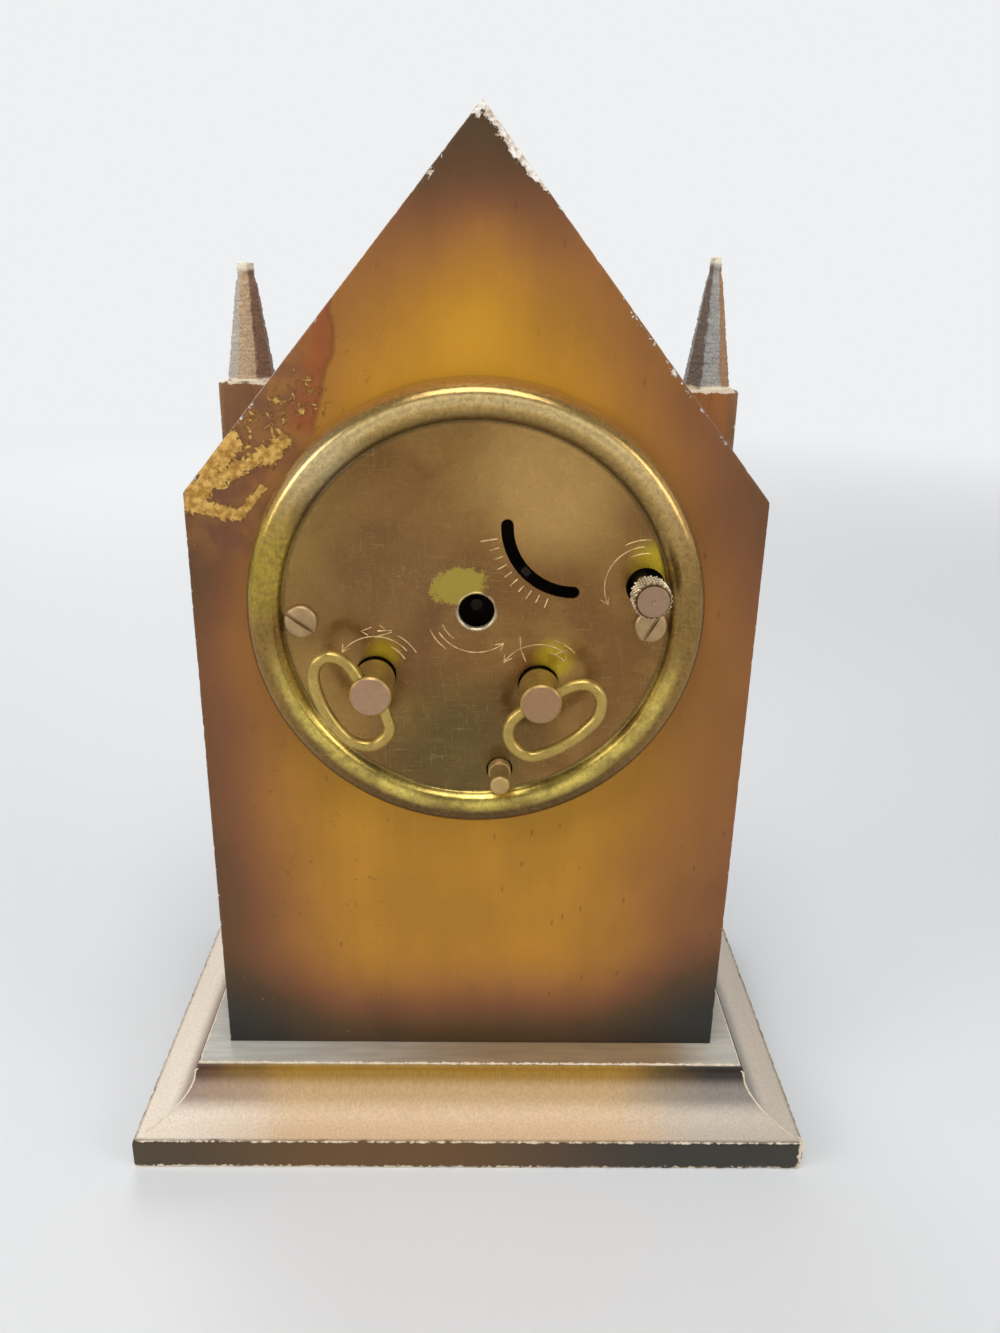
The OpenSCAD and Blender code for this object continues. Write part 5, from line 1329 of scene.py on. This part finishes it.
def bend_bow(name, key, key_place, fold_angle, bends, body, finish):
    """A wire bow that hangs in its key's barrel."""
    low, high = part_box(key + "_bow")
    fold = Vector((math.cos(math.radians(fold_angle)), math.sin(math.radians(fold_angle))))
    straight = [fold * r for r in (1.75, 2.6, 3.4)]
    path = straight + [Vector(p) for p in bends] + [-p for p in reversed(straight)]
    wire_y = (low.y + high.y) / 2
    line = [(key_place[0] + p.x * mm, wire_y, key_place[1] + p.y * mm) for p in smooth_line(path)]
    mesh = run_tree(curves_of(name, [line]), tube, Half_width=wire_r, Sides=24, Finish=finish)
    lay(name, mesh, finish, body, "brass", key + "_bow")


bow_finish = paint_small_brass("bow_wire", side=(178, 150, 78), rough=(0.26, 0.38))
bend_bow("time_wire_bow", "time_key", TIME_KEY, 53, TIME_BOW, "time_bow", bow_finish)
bend_bow("alarm_wire_bow", "alarm_key", ALARM_KEY, 149, ALARM_BOW, "alarm_bow", bow_finish)

# %% [markdown]
# The alarm-set knob has a diamond knurl that grips the fingers. It is one
# small pyramid, repeated round the barrel in staggered rows by Geometry
# Nodes. Every point of a loose mesh carries the direction its pyramid leans.

# %% Knurl the knob
knob_low, knob_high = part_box("alarm_set_knob")
knob_r = (knob_high.x - knob_low.x) / 2
knob_end = knob_high.y - back_y
knob_foot = knob_low.y - back_y
core_r = knob_r - 0.6 * mm
face_r = knob_r - 0.72 * mm
neck, bore = 1.5 * mm, 1.1 * mm
skirt = knob_end - 4.7 * mm
knob_profile = [(bore, knob_foot), (neck, knob_foot), (neck, skirt), (core_r - 0.3 * mm, skirt),
                (core_r, skirt + 0.3 * mm), (core_r, knob_end - 0.5 * mm),
                (face_r, knob_end - 0.05 * mm), (face_r - 0.1 * mm, knob_end),
                (0.35 * mm, knob_end), (0.25 * mm, knob_end - 0.12 * mm), (axis_r, knob_end - 0.15 * mm),
                (axis_r, knob_end - 1.5 * mm), (bore, knob_end - 1.6 * mm)]
knob = spin(knob_profile, SET_KNOB, steps=96)


def stored(tree, name):
    """Reads a vector that the points carry under a name."""
    node = tree.nodes.new("GeometryNodeInputNamedAttribute")
    node.data_type = "FLOAT_VECTOR"
    node.inputs["Name"].default_value = name
    return node.outputs[0]


def points_with(name, places, **vectors):
    """An object of loose points that carry named vectors."""
    mesh = bpy.data.meshes.new(name)
    mesh.from_pydata(places, [], [])
    for key, values in vectors.items():
        numbers = [c for value in values for c in value]
        mesh.attributes.new(key, "FLOAT_VECTOR", "POINT").data.foreach_set("vector", numbers)
    return new_object(name, mesh)


def knurl_tree():
    """A tree that sets a small pyramid on every point, leaning out from the knob's axis."""
    tree, given = start_tree("diamond_knurl", Point_size="Float", Point_height="Float")
    tooth = tree.nodes.new("GeometryNodeMeshCone")
    tooth.inputs["Vertices"].default_value = 4
    tooth.inputs["Radius Top"].default_value = 0.06 * mm
    spread = tree.nodes.new("GeometryNodeInstanceOnPoints")
    lean = tree.nodes.new("FunctionNodeAlignRotationToVector")
    lean.axis = "Z"
    tree.links.new(given["Point size"], tooth.inputs["Radius Bottom"])
    tree.links.new(given["Point height"], tooth.inputs["Depth"])
    tree.links.new(given["Geometry"], spread.inputs["Points"])
    tree.links.new(tooth.outputs["Mesh"], spread.inputs["Instance"])
    tree.links.new(stored(tree, "outward"), lean.inputs["Vector"])
    tree.links.new(lean.outputs[0], spread.inputs["Rotation"])
    return end_tree(tree, given, spread.outputs[0])


rows, round_count = 7, 20
row_pitch = (knob_end - skirt - 1.1 * mm) / (rows - 1)
places, leans = [], []
for row in range(rows):
    depth = back_y + skirt + 0.45 * mm + row_pitch * row
    for k in range(round_count):
        a = 2 * math.pi * (k + 0.5 * (row % 2)) / round_count
        leans.append((math.cos(a), 0.0, math.sin(a)))
        places.append((SET_KNOB[0] + core_r * math.cos(a), depth, SET_KNOB[1] + core_r * math.sin(a)))


def paint_knob():
    """Brass that is dark in the knurl's grooves, with painted highlights on its points and a neck painted
    lighter, as if lit.
    """
    look = Finish("knob_brass", rough=0.34, metal=0.6)
    from_axis = length(look.x - SET_KNOB[0], look.z - SET_KNOB[1])
    groove = look.fade(from_axis, core_r - 0.02 * mm, core_r + 0.32 * mm)
    colour = look.mix(groove, (84, 62, 36), (172, 148, 108))
    # painted highlights on the knurl's points
    colour = look.mix(look.fade(from_axis, core_r + 0.3 * mm, core_r + 0.46 * mm), colour, (238, 222, 192))
    # the neck painted lighter, as if lit where it sits in shadow
    colour = look.mix(look.fade(from_axis, neck + 0.2 * mm, neck + 0.05 * mm), colour, (150, 138, 104))
    flat = look.fade(look.y, knob_high.y - 0.14 * mm, knob_high.y - 0.04 * mm)
    face = look.tint((158, 126, 100), look.vary(look.cloud(0.9, detail=5), 0.92, 1.06))
    look.relief(look.cloud(0.3, detail=5), 0.02 * mm)
    return look.finish(look.mix(flat, colour, face))


knob_finish = paint_knob()
knurl = run_tree(points_with("seats", places, outward=leans), knurl_tree(),
                 Point_size=0.46 * mm, Point_height=0.5 * mm, Finish=knob_finish)
absorb(knob, as_data("knurl", knurl))
lay("knurled_knob", knob, knob_finish, "alarm_setting", "key_metal", "alarm_set_knob")

# %% [markdown]
# The stop pin is turned too, with a rounded end behind a shallow step. Its
# wide part ends where the model's does, so that it stays clear when pushed.

# %% Turn the stop pin
pin_low, pin_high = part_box("stop_plunger")
pin_r = (pin_high.x - pin_low.x) / 2
pin_end = pin_high.y - back_y
pin_foot = pin_low.y - back_y
stem_r, shoulder_d = 1.0 * mm, 0.1 * mm
pin_profile = [(axis_r, pin_foot), (stem_r, pin_foot), (stem_r, shoulder_d), (pin_r, shoulder_d),
               (pin_r, pin_end - 5.5 * mm), (pin_r - 0.1 * mm, pin_end - 5.35 * mm),
               (pin_r - 0.28 * mm, pin_end - 5.3 * mm), (pin_r - 0.28 * mm, pin_end - 0.8 * mm)]
pin_profile += arc_points((pin_r - 0.93 * mm, pin_end - 0.75 * mm), 0.65 * mm, 0.6 * mm, 10, 78, 8)
pin_profile += [(0.7 * mm, pin_end - 0.07 * mm), (0.35 * mm, pin_end - 0.02 * mm)]
pin_profile += [(axis_r, pin_end)]
pin_finish = paint_small_brass("pin_brass", side=(184, 152, 96))
pin_mesh = spin(pin_profile, STOP_PIN, steps=64)
lay("stop_pin", pin_mesh, pin_finish, "stop_plunger", "key_metal", "stop_plunger")

# %% [markdown]
# ## Everything the model already shapes well
# Keys, wheels, plates and springs keep the model's own meshes. Each gets the finish of its metal: brass for
# wheels and plates, grey steel for arbors and levers, blued steel for hands and the hairspring. The pieces
# that show only deep inside the cap's holes and slot, such as the back plate, the drum and the centre arbor,
# get a near-black brass instead, which is painted shade.

# %% Finish the model's own pieces


def paint_steel(name, dark, light, rough=(0.28, 0.42)):
    look = Finish(name, metal=0.9)
    turned = look.cloud(0.5, detail=5, grain=(6, 1, 6))
    look.relief(turned, 0.01 * mm)
    colour = look.mix(look.vary(turned), dark, light)
    return look.finish(colour, look.vary(look.cloud(2, detail=4), *rough))


def paint_glass():
    look = Finish("clear_glass")
    look.dress(Transmission_Weight=1.0, IOR=1.5)
    smear = look.fade(look.cloud(9, detail=4), 0.4, 0.7, 0.02, 0.07)
    return look.finish(look.mix(look.cloud(20), (0.97, 0.98, 0.97, 1), (0.99, 1, 0.99, 1)), smear)


def paint_dial():
    look = Finish("dial_cream")
    aged = look.mix(look.vary(look.cloud(9, detail=5)), (232, 224, 198), (240, 234, 214))
    aged = look.mix(look.fade(look.cells(2.6), 0.1, 0.04) * 0.3, aged, (186, 164, 120))
    look.relief(look.cloud(0.4, detail=4), 0.01 * mm)
    return look.finish(aged, look.vary(look.cloud(3), 0.38, 0.5))


def paint_panel(name, light, dark):
    look = Finish(name)
    grain = grain_of(look, 0.5, 12)
    shade = look.fade(look.cloud(18, detail=4), 0.4, 0.65, 0.0, 0.4)
    colour = look.mix(shade, look.mix(look.vary(grain), dark, light), (58, 40, 28))
    look.relief(grain, 0.08 * mm)
    look.dress(Coat_Weight=0.35, Coat_Roughness=0.2)
    return look.finish(colour, look.vary(look.cloud(5, detail=4), 0.32, 0.46))


FINISHES = {
    "dark_wood": paint_panel("front_lacquer", (122, 80, 46), (82, 52, 32)),
    "brass": paint_small_brass("movement_brass", side=(196, 164, 92)),
    "dull_brass": paint_small_brass("dull_brass", side=(160, 124, 72)),
    "key_metal": paint_small_brass("arbor_brass", side=(170, 136, 96)),
    "steel": paint_steel("grey_steel", (70, 68, 66), (112, 110, 106), rough=(0.4, 0.55)),
    "blue_steel": paint_steel("blued_steel", (34, 38, 66), (52, 58, 92)),
    "glass": paint_glass(),
    "dial_paint": paint_dial(),
}
OWN_FINISHES = {
    "time_key": paint_small_brass("time_key_brass", face_y=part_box("time_key")[1].y, face=(170, 134, 104)),
    "alarm_key": paint_small_brass("alarm_key_brass", face_y=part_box("alarm_key")[1].y, face=(164, 128, 92)),
    "alarm_set_arbor": paint_small_brass("set_arbor_brass", side=(206, 184, 132)),
}
# near-black brass for pieces seen only deep in the holes and the slot: painted shade
SHADED = paint_small_brass("tarnished_brass", side=(44, 35, 24), rough=(0.6, 0.75))
for node in ("centre_arbor", "regulator_lever", "back_plate", "drum_case", "time_winding_arbor",
             "alarm_winding_arbor", "balance_screws"):
    OWN_FINISHES[node] = SHADED
replaced = {"base_plinth", "case_block", "left_pillar", "right_pillar", "left_spire", "right_spire",
            "back_cap", "cap_screws", "alarm_set_knob", "stop_plunger", "time_key_bow", "alarm_key_bow"}
dressed = 0
for part in frame["record"]["subparts"]:
    node = part["node"]
    if node in replaced:
        continue
    finish = OWN_FINISHES.get(node) or FINISHES[part["material_slot"]]
    data = frame["nodes"][node].data
    data.materials.clear()
    data.materials.append(finish)
    dressed += 1
print("model pieces dressed:", dressed)

# %% [markdown]
# ## Dial
# The dial is printed: twelve plain numerals and sixty minute marks. The
# marks are one small bar, repeated round a circle by Geometry Nodes, and the
# numerals are text turned into a mesh, a few hundredths of a millimetre proud.

# %% Print the dial
dial_y, print_t = dial_low.y, 0.06 * mm
ink = Finish("dial_ink")
ink_paint = ink.finish(ink.mix(ink.cloud(2, detail=4), (34, 28, 26), (58, 48, 42)))


def minute_tree():
    """A tree that sets a bar on every point, turned and sized as the point says."""
    tree, given = start_tree("minute_marks", Bar_size="Vector")
    bar = tree.nodes.new("GeometryNodeMeshCube")
    spread = tree.nodes.new("GeometryNodeInstanceOnPoints")
    as_turn = tree.nodes.new("FunctionNodeEulerToRotation")
    tree.links.new(given["Bar size"], bar.inputs["Size"])
    tree.links.new(given["Geometry"], spread.inputs["Points"])
    tree.links.new(bar.outputs["Mesh"], spread.inputs["Instance"])
    tree.links.new(stored(tree, "turn"), as_turn.inputs[0])
    tree.links.new(as_turn.outputs[0], spread.inputs["Rotation"])
    tree.links.new(stored(tree, "size"), spread.inputs["Scale"])
    return end_tree(tree, given, spread.outputs[0])


def dial_place(radius, degrees):
    """A place on the dial's face."""
    a = math.radians(degrees)
    return (radius * math.cos(a), dial_y, arbor_z + radius * math.sin(a))


minute_r, numeral_r, numeral_size = 29.2 * mm, 24.2 * mm, 6.21 * mm
angles = [90 - 6 * k for k in range(60)]
minute_points = points_with(
    "minute_points", [dial_place(minute_r, angle) for angle in angles],
    turn=[(0.0, -math.radians(angle), 0.0) for angle in angles],
    size=[(1.3, 1.0, 2.2) if k % 5 == 0 else (1.0, 1.0, 1.0) for k in range(60)])
minutes = run_tree(minute_points, minute_tree(), Bar_size=(1.7 * mm, print_t, 0.28 * mm), Finish=ink_paint)
lay("minute_marks", minutes, ink_paint, "case", "dial_paint")

numerals = bmesh.new()
for hour in range(1, 13):
    text = bpy.data.curves.new("numeral", "FONT")
    text.body = str(hour)
    text.size = numeral_size
    text.align_x = text.align_y = "CENTER"
    text.extrude = print_t / 2
    flat = plain_mesh(new_object("numeral", text))
    stand = Matrix.Translation(dial_place(numeral_r, 90 - 30 * hour))
    flat.transform(stand @ Matrix.Rotation(math.pi / 2, 4, "X"))
    absorb(numerals, flat)
bmesh.ops.remove_doubles(numerals, verts=numerals.verts, dist=same_place)
bmesh.ops.recalc_face_normals(numerals, faces=numerals.faces)
lay("numerals", numerals, ink_paint, "case", "dial_paint")
